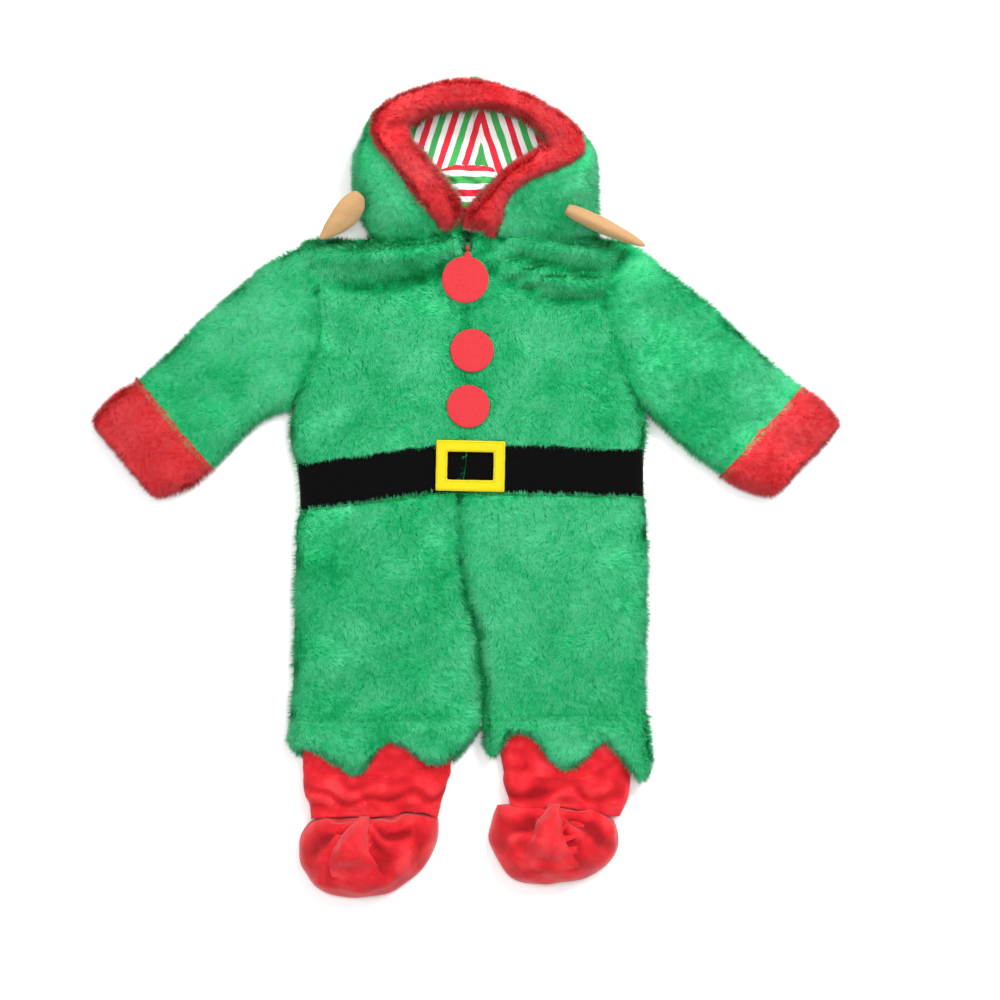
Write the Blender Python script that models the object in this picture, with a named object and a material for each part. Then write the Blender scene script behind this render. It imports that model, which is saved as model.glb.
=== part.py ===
"""A baby's hooded elf coverall in long-pile plush, laid out on its back.

+Z is up from the floor, +Y runs to the hood and +X to the wearer's left.
The origin is on the floor under the middle of the back, level with the bottom of the belt.
Sizes are in millimetres until wall() scales them to metres.
"""

import math

import bmesh
import bpy
import numpy as np

MM = 0.001

# The cloth, with the pile's reach counted in the plush
PLUSH_FRONT = 7.5
PLUSH_BACK = 6.0
VELOUR_PADDED = 5.0
JERSEY = 1.5
FELT = 2.2
VELVET = 1.6
ZIP_TAPE = 1.0

# How the layers lie
GAP = 0.3
SEAM_TOP = 8.5
CROWN = 17.0
BACK_EDGE_RISE = 5.0
BACK_EDGE_RADIUS = 12.0
SHOULDER_LEVEL = 213.0
HEM_LEVEL = -194.5
SHOULDER_RADIUS = 14.0
TUBE_GAP = 2.6
BELT_TOP = 38.0
BELT_BOTTOM = -3.0
BELT_SINK = 3.0

# Shares of the way from a panel's outer edge to its centre edge
FRONT_ACROSS = (0, 0.02, 0.07, 0.15, 0.27, 0.41, 0.55, 0.69, 0.82, 0.92, 0.975, 1)
BACK_ACROSS = (0, 0.025, 0.08, 0.4, 0.7, 0.92, 0.975, 1)

COLOURS = {
    "green plush": ((0.02, 0.42, 0.16), 0.95),
    "red plush": ((0.62, 0.01, 0.02), 0.95),
    "red velour": ((0.68, 0.015, 0.02), 0.9),
    "red felt": ((0.85, 0.06, 0.07), 0.9),
    "black velvet": ((0.004, 0.004, 0.004), 0.9),
    "yellow felt": ((0.9, 0.78, 0.02), 0.85),
    "striped jersey": ((0.85, 0.82, 0.8), 0.85),
    "tan fleece": ((0.72, 0.48, 0.26), 0.9),
    "green zip": ((0.01, 0.16, 0.06), 0.6),
    "enamelled zinc": ((0.02, 0.3, 0.12), 0.35),
}

# The body's outer edge by level: x on each side, how far its top falls to the seam, over what width
SIDE_EDGE = {
    "level": (213, 186, 162, 140, 117, 88, 67, 50, 38, 18, -3, -12, -61, -129, -181, -194.5),
    "right_x": (-140.5, -134.5, -128.5, -126.4, -130.3, -147, -154.5, -153, -147.5, -146, -144.5, -150.5,
                -148.7, -149.5, -151, -153.4),
    "left_x": (134, 121.7, 114.8, 119, 127.7, 138.5, 150.5, 150.3, 148.3, 148.3, 148.3, 150, 151.3, 150,
    148.3,
               150.8),
    "fall": (0.15, 0.15, 0.15, 0.15, 0.2, 0.5, 1, 1, 1, 1, 1, 1, 1, 1, 1, 1),
    "radius": (9, 9, 9, 9, 10, 14, 19, 20, 15, 15, 15, 20, 22, 22, 22, 22),
}

# The zip and inner-leg line by level: x, half the gap there, how far the top falls, over what width
CENTRE_EDGE = {
    "level": (213, 200, 192, 162, 76, 20, -9, -44, -78, -104, -138, -172, -194.5),
    "x": (-1.7, -1.8, -2, -2.6, -1.7, -3.4, -8.6, -9.4, -6, 0.9, 8.6, 12, 9.4),
    "half_gap": (3.3, 3.0, 0.9, 0.4, 0.4, 0.4, 0.4, 0.4, 0.4, 0.6, 1, 1.4, 1.6),
    "fall": (0.25, 0.25, 0.2, 0.15, 0.12, 0.12, 0.3, 0.35, 0.5, 0.85, 1, 1, 1),
    "radius": (6, 6, 6, 5, 5, 5, 7, 8, 10, 12, 14, 15, 15),
}

# How far the belt's level lines drop towards each side seam, for each millimetre out from the buckle
BELT_SLANT = {"right": 0.135, "left": 0.03}
BELT_FLAT_HALF = 29.0
BELT_SLANT_REACH = 75.0

# The front's top edge rises between the hood's ends
NECK_RISE = 10.0
NECK_RISE_HALF = 32.0
NECK_RISE_REACH = 24.0
NECK_GAP = 1.2

# Soft swellings of the front: middle, half-widths and rise
SWELLS = (
    {"x": -70, "y": 112, "wide": 60, "long": 60, "rise": 2.5},
    {"x": 66, "y": 118, "wide": 58, "long": 60, "rise": 2.5},
    {"x": -74, "y": -85, "wide": 55, "long": 75, "rise": 3.0},
    {"x": 82, "y": -80, "wide": 55, "long": 75, "rise": 3.0},
)

# The largest folds: start, middle and end of the line, half-width, and height above or below the cloth
FOLDS = (
    {"from": (-12, 210), "by": (-66, 201), "to": (-128, 203), "wide": 12, "high": 9.5},
    {"from": (-16, 198), "by": (-62, 177), "to": (-122, 176), "wide": 6.5, "high": -6.5},
    {"from": (22, 213), "by": (72, 208), "to": (122, 204), "wide": 9, "high": 7.5},
    {"from": (14, 212), "by": (62, 193), "to": (116, 188), "wide": 5.0, "high": -5.5},
    {"from": (18, 200), "by": (66, 181), "to": (112, 177), "wide": 7, "high": 5.5},
    {"from": (12, 204), "by": (52, 170), "to": (112, 163), "wide": 6.5, "high": -6.5},
    {"from": (46, 146), "by": (72, 112), "to": (103, 74), "wide": 10, "high": -1.8},
    {"from": (-15, -128), "by": (-64, -158), "to": (-122, -176), "wide": 12, "high": -2.2},
    {"from": (98, -99), "by": (76, -132), "to": (50, -166), "wide": 9, "high": -2.6},
    {"from": (116, -112), "by": (92, -145), "to": (62, -180), "wide": 10, "high": 2.0},
    {"from": (129, -34), "by": (132, -62), "to": (134, -92), "wide": 8, "high": -1.8},
)

# Sleeve sections from armhole to cuff: the shoulder-side and underarm-side edges, and the height
SLEEVES = {
    "right": (
        {"over": (-140.5, 211.7), "under": (-155.0, 67.7), "high": 17.0},
        {"over": (-178.3, 191.1), "under": (-173.1, 61.7), "high": 18.0},
        {"over": (-214.3, 159.4), "under": (-191.1, 48.8), "high": 17.5},
        {"over": (-248.5, 127.7), "under": (-207.4, 31.7), "high": 17.5},
        {"over": (-283.7, 93.0), "under": (-222.0, 18.9), "high": 17.0},
    ),
    "left": (
        {"over": (134.6, 213.0), "under": (151.2, 67.7), "high": 17.0},
        {"over": (171.4, 186.8), "under": (164.5, 53.1), "high": 18.0},
        {"over": (207.4, 157.7), "under": (180.8, 36.9), "high": 17.5},
        {"over": (246.0, 121.7), "under": (198.8, 22.3), "high": 17.5},
        {"over": (283.7, 85.3), "under": (216.8, 12.9), "high": 17.0},
    ),
}
CUFFS = {
    "right": (
        {"over": (-284.4, 94.0), "under": (-221.4, 17.9), "high": 17.5},
        {"over": (-296.0, 87.0), "under": (-229.0, 9.0), "high": 19.5},
        {"over": (-311.0, 77.5), "under": (-247.0, -1.5), "high": 20.0},
        {"over": (-323.5, 60.0), "under": (-268.0, -6.9), "high": 18.0},
    ),
    "left": (
        {"over": (284.4, 86.4), "under": (216.3, 11.9), "high": 17.5},
        {"over": (293.0, 82.5), "under": (224.0, 5.5), "high": 19.5},
        {"over": (306.0, 72.0), "under": (240.0, -1.0), "high": 20.0},
        {"over": (316.7, 57.4), "under": (256.2, -6.9), "high": 18.0},
    ),
}
SLEEVE_EDGE_RADIUS = 18.0
ARMHOLE_GAP = 0.45

# Hem bands: the edges at the seam and at the flared lower edge, and the points cut in the front
HEMS = {
    "right": {
        "seam": (-153.6, 7.6),
        "flare": (-156.5, -1.0),
        "x": (-157, -146, -143, -127, -115, -106, -97, -89, -87, -77, -68, -57, -46, -33, -21, -16, -12, -1),
        "y": (-217, -222, -220.5, -224.5, -233, -241, -243.4, -237, -226, -217.5, -214, -218.5, -227, -234,
              -234, -228, -223, -219),
    },
    "left": {
        "seam": (11.2, 152.4),
        "flare": (11.6, 158.0),
        "x": (11, 15.5, 23, 27, 29, 37, 46, 55, 64, 71, 77, 88, 95, 102, 111, 120, 128, 137, 141, 147, 154.5,
              158),
        "y": (-215, -226, -229.5, -222, -211, -206, -206, -211, -222, -233, -240, -241, -233, -223, -216,
              -215, -226, -237.5, -248.5, -250, -241, -226),
    },
}
HEM_POINT_PITCH = 37.0
HEM_BACK_DEEP = -236.0
HEM_BACK_HIGH = -214.0
HEM_BACK_PHASE = 9.0
HEM_OPENING = 8.0
HEM_UNDER = 5.0
HEM_OVER = 14.6
HEM_TOP = 21.0

# Padded bootie shafts: level, the two edges, height of the underside and of the top
ANKLES = {
    "right": (
        {"level": -205.5, "edges": (-144, -11.5), "under": 5.4, "top": 14.2},
        {"level": -225, "edges": (-145, -13.5), "under": 5.4, "top": 14.2},
        {"level": -244, "edges": (-144.2, -16.8), "under": 5.4, "top": 14.2},
        {"level": -254, "edges": (-142.5, -19.2), "under": 1.5, "top": 17.5},
        {"level": -261, "edges": (-141.2, -21.2), "under": 0.0, "top": 18.5},
        {"level": -269, "edges": (-140, -24.5), "under": 0.0, "top": 17.0},
        {"level": -276.2, "edges": (-137.5, -28.5), "under": 0.8, "top": 14.5},
    ),
    "left": (
        {"level": -204, "edges": (24, 141), "under": 5.4, "top": 14.2},
        {"level": -224, "edges": (26, 139), "under": 5.4, "top": 14.2},
        {"level": -246, "edges": (28.5, 138.5), "under": 5.4, "top": 14.2},
        {"level": -252, "edges": (28, 138.5), "under": 1.5, "top": 17.5},
        {"level": -257, "edges": (28.5, 137.5), "under": 0.0, "top": 18.5},
        {"level": -264, "edges": (30.5, 134.5), "under": 0.0, "top": 17.0},
        {"level": -271.3, "edges": (34, 129.5), "under": 0.8, "top": 14.5},
    ),
}

# How much of the way each of the last sections goes to the foot's outline, and the clear space left there
ANKLE_FOLLOWS = {4: 0.1, 5: 0.45, 6: 1.0}
ANKLE_CLEAR = 0.8
ANKLE_FALL = 7.0

# Bootie feet: the middle, the height, and the outline's reach from the middle by direction in degrees
FEET = {
    "right": {
        "middle": (-88.0, -311.0),
        "high": 38.0,
        "bearing": (0, 25, 50, 72, 90, 108, 130, 155, 180, 205, 230, 250, 270, 290, 315, 340),
        "reach": (59, 67.5, 45.5, 33.5, 32, 33, 41, 60, 61, 58, 51, 44, 40.5, 41, 43.5, 49),
    },
    "left": {
        "middle": (73.0, -304.0),
        "high": 38.0,
        "bearing": (0, 25, 50, 72, 90, 108, 130, 150, 180, 205, 230, 250, 270, 290, 315, 340),
        "reach": (57.5, 54, 42, 33.5, 32, 34, 42, 61, 57.5, 51.5, 47, 38, 35.5, 36.5, 42, 50.7),
    },
}
FOOT_RIM = 3.4
SOLE_THICK = 3.0
SOLE_SHARE = 0.95
GATHERS = 9
GATHER_DEPTH = 0.035
FOOT_RINGS = (1.0, 0.98, 0.92, 0.78, 0.55, 0.3, 0.0)

# The curled toe end: where it leaves the foot, its tip, and its half-width and height along the way
TOES = {
    "right": {"root": (-96.0, -330.0), "tip": (-90.0, -279.5), "bend": -8.0},
    "left": {"root": (72.0, -322.0), "tip": (72.5, -269.5), "bend": -7.0},
}
TOE_HALF_WIDTH = (22, 20.5, 17, 13, 9, 4.5)
TOE_RIDGE = (1.2, 5.5, 9.5, 12, 12.5, 7)
TOE_SIDE_DROP = 8.0

# Hood halves, a row for each section from the neck to the crown: the face opening's edge,
# the outer edge of the fur band, the widest point of the side, and where the section meets the back seam
HOOD = {
    "right": {
        "edge": ((-7, 223.5, 17), (-6.5, 237.4, 20), (-15.4, 254.5, 24), (-28.3, 270, 28), (-39.4, 284.5, 31),
                 (-53.1, 302.5, 34), (-51.4, 311.1, 36), (-37.7, 317.9, 38), (-18.9, 323.1, 40),
                 (3.7, 324.8, 41)),
        "band": ((-25, 216, 18), (-23.5, 226, 22), (-36, 240, 27), (-51.4, 258, 32), (-65.1, 281.1, 35),
                 (-84, 300.8, 36), (-78, 319, 34), (-57, 334, 35), (-28.5, 341.5, 36), (3.7, 345.5, 37)),
        "side": ((-84, 213.4), (-86, 219), (-92, 232), (-99, 252), (-101.5, 273.4), (-93, 298),
                 (-80.5, 320), (-58, 335), (-29, 342), (3.7, 346)),
        "seam_y": (213.4, 221, 233, 248, 262, 276, 288, 298, 306, 314),
    },
    "left": {
        "edge": ((-6, 223.5, 16), (-4, 237, 19), (8.6, 244.2, 22), (22.3, 264, 26), (37.7, 275.1, 29),
                 (51.4, 283.7, 32),
                 (66, 294, 34), (65.1, 300, 36), (52.3, 311.1, 37), (34.3, 321.5, 39), (4.3, 324.8, 41)),
        "band": ((19, 216, 18), (23, 224, 22), (28.3, 243, 26), (33.6, 255.4, 30), (45, 262, 33),
                 (67, 272, 36),
                 (92, 281, 37), (97, 296, 35), (79, 314, 35), (44, 334, 36), (4.3, 345.5, 37)),
        "side": ((112, 213.4), (112, 219), (111.5, 230), (110, 243.4), (109.5, 256.2), (110.6, 268.2),
                 (107, 282),
                 (100, 297), (81, 315), (44.5, 335), (4.3, 346)),
        "seam_y": (213.4, 221, 233, 246, 258, 269, 280, 290, 299, 307, 314),
    },
}
HOOD_SEAM = {"neck_x": -6.5, "crown_x": 4.0, "from_y": 222.0, "to_y": 262.0}
HOOD_SEAM_HALF = 0.3
HOOD_MIDDLE = (5.0, 275.0)
HOOD_SIDE_HEIGHT = 16.0
HOOD_TUCK = 16.0
HOOD_PUFF = 3.0
# For each of the six section points, how depth moves it: towards the hood's middle, and upwards
HOOD_DEPTH_WAYS = ((0, -1), (0.35, -0.95), (0.6, -0.8), (1, 0), (0.5, 0.95), (0, 1))
HOOD_KNOTS = (0.0, 0.22, 0.40, 0.55, 0.72, 1.0)
HOOD_ACROSS = (0.0, 0.044, 0.11, 0.176, 0.22, 0.31, 0.40, 0.48, 0.55, 0.61, 0.66, 0.72, 1.0)
HOOD_STATIONS = 12
BAND_ACROSS = (0.0, 0.044, 0.11, 0.176, 0.22)
BAND_START = {"right": 0.07, "left": 0.01}
BAND_THICK = 12.0
BAND_GAP = 1.3
HOOD_PLUSH = 6.0

# The folded edge of the back-neck lining: level, its two ends, and how high the fold stands
NECK_LINING = (
    {"level": 279, "ends": (-26, 20), "high": 2.0},
    {"level": 275, "ends": (-31, 24), "high": 8.0},
    {"level": 269, "ends": (-31, 25), "high": 10.0},
    {"level": 261, "ends": (-27, 22), "high": 6.5},
    {"level": 251, "ends": (-20, 17), "high": 3.5},
    {"level": 240, "ends": (-11, 11), "high": 2.0},
)

# Stuffed ears: root and tip of the axis, and the turn of the flat side in degrees from upright
EARS = {
    "right": {"root": (-92.4, 250.0, 35.0), "tip": (-127.0, 212.5, 34.5), "turn": 48.0},
    "left": {"root": (82.0, 237.0, 42.4), "tip": (149.0, 206.0, 37.0), "turn": 8.0},
}
EAR_ALONG = (0.0, 0.05, 0.2, 0.4, 0.62, 0.82, 0.95, 1.0)
EAR_HALF_WIDTH = (5.5, 8.5, 13.0, 14.0, 11.5, 7.0, 3.0, 0.8)
EAR_HALF_THICK = (4.0, 6.0, 7.2, 7.4, 6.6, 4.8, 2.6, 0.7)

# Buttons and zip pull, on the front
DISCS = {
    "pull_disc": {"middle": (-3.9, 178.8), "radius": 20.0},
    "button_middle": {"middle": (1.7, 118.3), "radius": 18.6},
    "button_lower": {"middle": (-1.3, 70.5), "radius": 18.4},
}
PULL = {"pivot": (-1.8, 206.0), "half_width": 2.8, "neck": 1.1, "bar": 0.8, "eye": 1.3, "thick": 1.2,
        "end_y": 182.0}
SLIDER = {"half_width": 2.6, "half_long": 5.0, "post_x": 1.6, "post_wide": 1.0}
BUCKLE = {"middle": (0.4, 19.7), "size": (59.0, 43.5), "border": 9.8, "turn": -1.2}


def steps(values, at, knots):
    """Values of a table at finer places, on a smooth curve that never overshoots its rows."""
    knots = np.asarray(knots, float)
    values = np.asarray(values, float).reshape(len(knots), -1)
    if knots[0] > knots[-1]:
        knots, values = knots[::-1], values[::-1]
    at = np.atleast_1d(np.asarray(at, float))
    span = np.diff(knots)[:, None]
    rate = np.diff(values, axis=0) / span
    product = rate[:-1] * rate[1:]
    total = rate[:-1] + rate[1:]
    slope = np.zeros_like(values)
    slope[1:-1] = np.where(product > 0, 2 * product / np.where(total == 0, 1, total), 0)
    slope[0], slope[-1] = rate[0], rate[-1]
    i = np.clip(np.searchsorted(knots, at, side="right") - 1, 0, len(knots) - 2)
    t = np.clip((at - knots[i]) / span[i, 0], 0, 1)[:, None]
    return (
        (2 * t**3 - 3 * t**2 + 1) * values[i]
        + (t**3 - 2 * t**2 + t) * span[i] * slope[i]
        + (3 * t**2 - 2 * t**3) * values[i + 1]
        + (t**3 - t**2) * span[i] * slope[i + 1]
    )


def column(table, name, level):
    """One column of a level table at any levels."""
    level = np.asarray(level, float)
    return steps(table[name], level.ravel(), table["level"]).reshape(level.shape)


def rounded(distance, radius):
    """0 at an edge and 1 from radius inwards, as a quarter circle."""
    q = np.clip(distance / radius, 0, 1)
    return np.sqrt(np.clip(1 - (1 - q) ** 2, 0, 1))


def fold_height(x, y):
    """Swellings and folds: bell-shaped rises across each fold's arc, fading at its ends."""
    height = np.zeros_like(x)
    for swell in SWELLS:
        across = ((x - swell["x"]) / swell["wide"]) ** 2
        along = ((y - swell["y"]) / swell["long"]) ** 2
        height += swell["rise"] * np.exp(-across - along)
    share = np.linspace(0, 1, 25)
    for fold in FOLDS:
        start, middle, end = (np.array(fold[k], float) for k in ("from", "by", "to"))
        control = 2 * middle - (start + end) / 2
        line = (
            np.outer((1 - share) ** 2, start)
            + np.outer(2 * share * (1 - share), control)
            + np.outer(share**2, end)
        )
        away = (x[..., None] - line[:, 0]) ** 2 + (y[..., None] - line[:, 1]) ** 2
        fade = np.sin(np.pi * np.clip(0.12 + 0.76 * share, 0, 1)) ** 0.7
        height += fold["high"] * (np.exp(-away / fold["wide"] ** 2) * fade).max(axis=-1)
    return height


def belt_tilt(x, side):
    out = np.clip(np.abs(x) - BELT_FLAT_HALF, 0, None)
    return -BELT_SLANT[side] * out


def neck_rise(x):
    """How far the neckline stands above the shoulder level."""
    return NECK_RISE * np.clip(1 - (x / NECK_RISE_HALF) ** 2, 0, 1) ** 2


def y_of(x, level, side):
    """A level line's y: slanting with the belt near the waist, and following the neckline at the top."""
    away = np.clip(np.maximum(level - BELT_TOP, BELT_BOTTOM - level), 0, None)
    share = np.clip(1 - away / BELT_SLANT_REACH, 0, 1)
    up = np.clip((level - SHOULDER_LEVEL) / NECK_RISE_REACH + 1, 0, 1)
    return level + belt_tilt(x, side) * share**2 * (3 - 2 * share) + neck_rise(x) * up**2


def body_grid(side, levels, across):
    """Points of a body panel, and their distances from its outer and centre edges."""
    level = np.repeat(np.asarray(levels, float)[:, None], len(across), axis=1)
    outer = column(SIDE_EDGE, side + "_x", level)
    sign = -1 if side == "right" else 1
    centre = column(CENTRE_EDGE, "x", level) + sign * column(CENTRE_EDGE, "half_gap", level)
    arm = np.clip((level - 60) / 10, 0, 1)
    outer = outer - sign * ARMHOLE_GAP * arm
    x = outer + (centre - outer) * np.asarray(across)[None, :]
    return x, y_of(x, level, side), level, np.abs(x - outer), np.abs(x - centre)


def front_top(x, y, level, from_side, from_centre):
    """The front's upper surface: crown, swells and folds, falling to the seams and sunk under the belt."""
    sunk = BELT_SINK * ((level > BELT_BOTTOM - 0.1) & (level < BELT_TOP + 0.1))
    top = CROWN + fold_height(x, y) - sunk
    side = 1 - rounded(from_side, column(SIDE_EDGE, "radius", level))
    centre = 1 - rounded(from_centre, column(CENTRE_EDGE, "radius", level))
    beyond_hood = np.clip(np.where(x < 0, (-x - 76) / 24, (x - 100) / 18), 0, 1)
    shoulder = (1 - rounded(SHOULDER_LEVEL - level, SHOULDER_RADIUS)) * (0.15 + 0.85 * beyond_hood)
    fall = np.maximum(column(SIDE_EDGE, "fall", level) * side, column(CENTRE_EDGE, "fall", level) * centre)
    return SEAM_TOP + (top - SEAM_TOP) * (1 - fall) * (1 - shoulder)


def back_bottom(level, from_side, from_centre):
    """The back's underside: flat on the floor, turning up at its free edges."""
    side = column(SIDE_EDGE, "fall", level) * (1 - rounded(from_side, BACK_EDGE_RADIUS))
    legs = np.clip(2 * column(CENTRE_EDGE, "fall", level) - 1, 0, 1)
    centre = legs * (1 - rounded(from_centre, BACK_EDGE_RADIUS))
    shoulder = 1 - rounded(SHOULDER_LEVEL - level, BACK_EDGE_RADIUS)
    return BACK_EDGE_RISE * np.maximum(np.maximum(side, centre), shoulder)


def stacked(x, y, z):
    return np.stack(np.broadcast_arrays(x, y, z), axis=-1)


def material(name):
    """The named finish, made once."""
    found = bpy.data.materials.get(name)
    if found:
        return found
    colour, roughness = COLOURS[name]
    made = bpy.data.materials.new(name)
    made.use_nodes = True
    shader = made.node_tree.nodes["Principled BSDF"]
    shader.inputs["Base Color"].default_value = (*colour, 1)
    shader.inputs["Roughness"].default_value = roughness
    shader.inputs["Metallic"].default_value = 0
    return made


def place(name, mesh, finish):
    mesh.materials.append(material(finish))
    mesh.shade_smooth()
    mesh.set_sharp_from_angle(angle=math.radians(50))
    made = bpy.data.objects.new(name, mesh)
    bpy.data.collections["elf_coverall"].objects.link(made)
    return made


def wall(name, outer, inner, finish, tube=False):
    """A closed cloth wall between two grids of points, rows by columns.

    tube joins the last column to the first. Rows whose points coincide close to a pole.
    """
    rows, columns = outer.shape[:2]
    corners = np.concatenate([outer.reshape(-1, 3), inner.reshape(-1, 3)]) * MM
    number = np.arange(rows * columns).reshape(rows, columns)
    if tube:
        number = np.concatenate([number, number[:, :1]], axis=1)
    behind = number + rows * columns
    faces = []

    def strip(a, b, c, d):
        faces.extend(np.stack([a, b, c, d], axis=-1).reshape(-1, 4).tolist())

    strip(number[:-1, :-1], number[:-1, 1:], number[1:, 1:], number[1:, :-1])
    strip(behind[:-1, :-1], behind[1:, :-1], behind[1:, 1:], behind[:-1, 1:])
    for row in (0, -1):
        strip(number[row, :-1], behind[row, :-1], behind[row, 1:], number[row, 1:])
    if not tube:
        for end in (0, -1):
            strip(number[:-1, end], number[1:, end], behind[1:, end], behind[:-1, end])
    return closed_mesh(name, corners, faces, finish)


def closed_mesh(name, corners, faces, finish):
    """One object from corners and faces, with coincident corners merged and every face turned outwards."""
    mesh = bpy.data.meshes.new(name)
    mesh.from_pydata(corners.tolist(), [], faces)
    made = bmesh.new()
    made.from_mesh(mesh)
    bmesh.ops.remove_doubles(made, verts=made.verts, dist=1e-6)
    loose = [face for face in made.faces if face.calc_area() < 1e-12]
    bmesh.ops.delete(made, geom=loose, context="FACES_ONLY")
    bmesh.ops.recalc_face_normals(made, faces=made.faces)
    made.to_mesh(mesh)
    made.free()
    return place(name, mesh, finish)


def front(side):
    levels = (213, 210.5, 206, 200, 194, 187, 180, 173, 164, 152, 138, 118, 98, 82, 66, 52, 43, 38.2, 38,
              18, -3,
              -3.2, -9, -26, -50, -75, -100, -125, -148, -170, -194.5)
    across = FRONT_ACROSS
    x, y, level, from_side, from_centre = body_grid(side, levels, across)
    top = front_top(x, y, level, from_side, from_centre)
    over_tape = ZIP_TAPE + GAP * (from_centre < 20) * (level > -100)
    bottom = np.maximum(PLUSH_BACK + GAP + over_tape, top - PLUSH_FRONT)
    wall("front_" + side, stacked(x, y, top), stacked(x, y, bottom), "green plush")


def back(side):
    levels = (213, 210, 204, 187, 173, 164, 152, 138, 118, 98, 82, 66, 52, 38, 18, -3, -50, -100, -148, -194.5)
    x, y, level, from_side, from_centre = body_grid(side, levels, BACK_ACROSS)
    bottom = back_bottom(level, from_side, from_centre)
    wall("back_" + side, stacked(x, y, PLUSH_BACK), stacked(x, y, bottom), "green plush")


def flat_ring(over, under, top, slot, radius, margin, bottom=0.0, half=10, bow=None):
    """The outer and inner loops of one section of a tube that lies flat.

    The upper layer runs from over to under and the lower one back again.
    top, slot and bottom are heights: of the crown, of the hollow's floor and ceiling, and of the underside.
    """
    share = (1 - np.cos(np.pi * np.arange(half + 1) / half)) / 2
    share = np.concatenate([share, share[-2:0:-1]])
    upper = np.arange(2 * half) <= half
    start, end = np.array(over, float), np.array(under, float)
    length = np.linalg.norm(end - start)
    line = start + np.outer(share, end - start)
    inset = margin / length + share * (1 - 2 * margin / length)
    hollow = start + np.outer(inset, end - start)
    if bow is not None:
        line = bow(share, line)
        hollow = bow(inset, hollow)
    distance = np.minimum(share, 1 - share) * length
    seam = max(min(SEAM_TOP - 1.5, (top + bottom) / 2), bottom + 1)
    rise = rounded(distance, radius)
    height = np.where(upper, seam + (top - seam) * rise, seam - (seam - bottom) * rounded(distance, radius * 0.6))
    floor, ceiling = slot
    middle = (floor + ceiling) / 2
    tips = (share == 0) | (share == 1)
    inner_height = np.where(tips, middle, np.where(upper, ceiling, floor))
    return stacked(line[:, 0], line[:, 1], height), stacked(hollow[:, 0], hollow[:, 1], inner_height)


def rings_to_wall(name, rings, finish):
    outer = np.array([ring[0] for ring in rings])
    inner = np.array([ring[1] for ring in rings])
    return wall(name, outer, inner, finish, tube=True)


def tube_sections(table, count):
    """A sleeve's or cuff's table at finer sections."""
    knots = np.linspace(0, 1, len(table))
    at = np.linspace(0, 1, count)
    over = steps([row["over"] for row in table], at, knots)
    under = steps([row["under"] for row in table], at, knots)
    high = steps([row["high"] for row in table], at, knots)[:, 0]
    return zip(at, over, under, high)


def sleeve(side):
    sign = -1 if side == "right" else 1
    armhole = np.array([SLEEVES[side][0]["over"], SLEEVES[side][0]["under"]])

    def armhole_bow(s):
        def bow(share, line):
            end = armhole[0] + share[:, None] * (armhole[1] - armhole[0])
            arm_x = column(SIDE_EDGE, side + "_x", end[:, 1]) + sign * ARMHOLE_GAP
            fade = max(0.0, 1 - s / 0.45) ** 1.5
            bent = line.copy()
            bent[:, 0] += (arm_x - end[:, 0]) * fade
            return bent

        return bow

    rings = []
    for s, over, under, high in tube_sections(SLEEVES[side], 9):
        top = high - 2.0 * max(0.0, 1 - s / 0.06)
        slot = (PLUSH_BACK, PLUSH_BACK + TUBE_GAP)
        rings.append(flat_ring(over, under, top, slot, SLEEVE_EDGE_RADIUS, 9.0, bow=armhole_bow(s)))
    rings_to_wall("sleeve_" + side, rings, "green plush")


def cuff(side):
    """The turned-back cuff, starting at the sleeve's last section."""
    end = SLEEVES[side][-1]
    over, under = np.array(end["over"]), np.array(end["under"])
    down = (under - over) / np.linalg.norm(under - over)
    out = np.array([down[1], -down[0]]) * (1 if side == "right" else -1)
    first = {"over": over + 0.5 * out - down, "under": under + 0.5 * out + down, "high": CUFFS[side][0]["high"]}
    rings = []
    for s, over, under, high in tube_sections((first, *CUFFS[side][1:]), 6):
        slot = (PLUSH_BACK, PLUSH_BACK + TUBE_GAP + 0.8 * s)
        rings.append(flat_ring(over, under, high, slot, SLEEVE_EDGE_RADIUS * 0.8, 9.0))
    rings_to_wall("cuff_" + side, rings, "red plush")


def hem(side):
    """The hem band: a flat tube round the leg's end, its lower edge cut in points."""
    table = HEMS[side]
    half = 20
    rings = []
    for drop, s in ((0, 0), (HEM_OPENING, 0), (HEM_OPENING, 0.55), (HEM_OPENING, 0.9), (HEM_OPENING, 1)):
        opened = drop / HEM_OPENING
        left = table["seam"][0] + (table["flare"][0] - table["seam"][0]) * s
        right = table["seam"][1] + (table["flare"][1] - table["seam"][1]) * s
        floor = PLUSH_BACK + (HEM_UNDER - PLUSH_BACK) * opened
        ceiling = PLUSH_BACK + TUBE_GAP + (HEM_OVER - PLUSH_BACK - TUBE_GAP) * opened
        thin = 1.0 if s < 0.9 else (0.85 if s < 1 else 0.35)
        top = ceiling + (CROWN + (HEM_TOP - CROWN) * opened - ceiling) * thin
        outer, inner = flat_ring((left, 0), (right, 0), top, (floor, ceiling), 13.0, 7.5, half=half)
        for loop in (outer, inner):
            x = loop[:, 0]
            upper = np.arange(2 * half) <= half
            front_edge = steps(table["y"], x, table["x"])[:, 0]
            turn = (x + HEM_BACK_PHASE) / HEM_POINT_PITCH * math.pi
            back_edge = (HEM_BACK_DEEP + HEM_BACK_HIGH) / 2 + (HEM_BACK_DEEP - HEM_BACK_HIGH) / 2 * np.cos(turn)
            near = np.clip(np.minimum(x - left, right - x) / 20, 0, 1)
            back_edge = front_edge * (1 - near) + back_edge * near
            lower = np.where(upper, front_edge, back_edge)
            loop[:, 1] = (HEM_LEVEL - GAP - drop) * (1 - s) + lower * s
        rings.append((outer, inner))
    rings_to_wall("hem_" + side, rings, "green plush")


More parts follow.
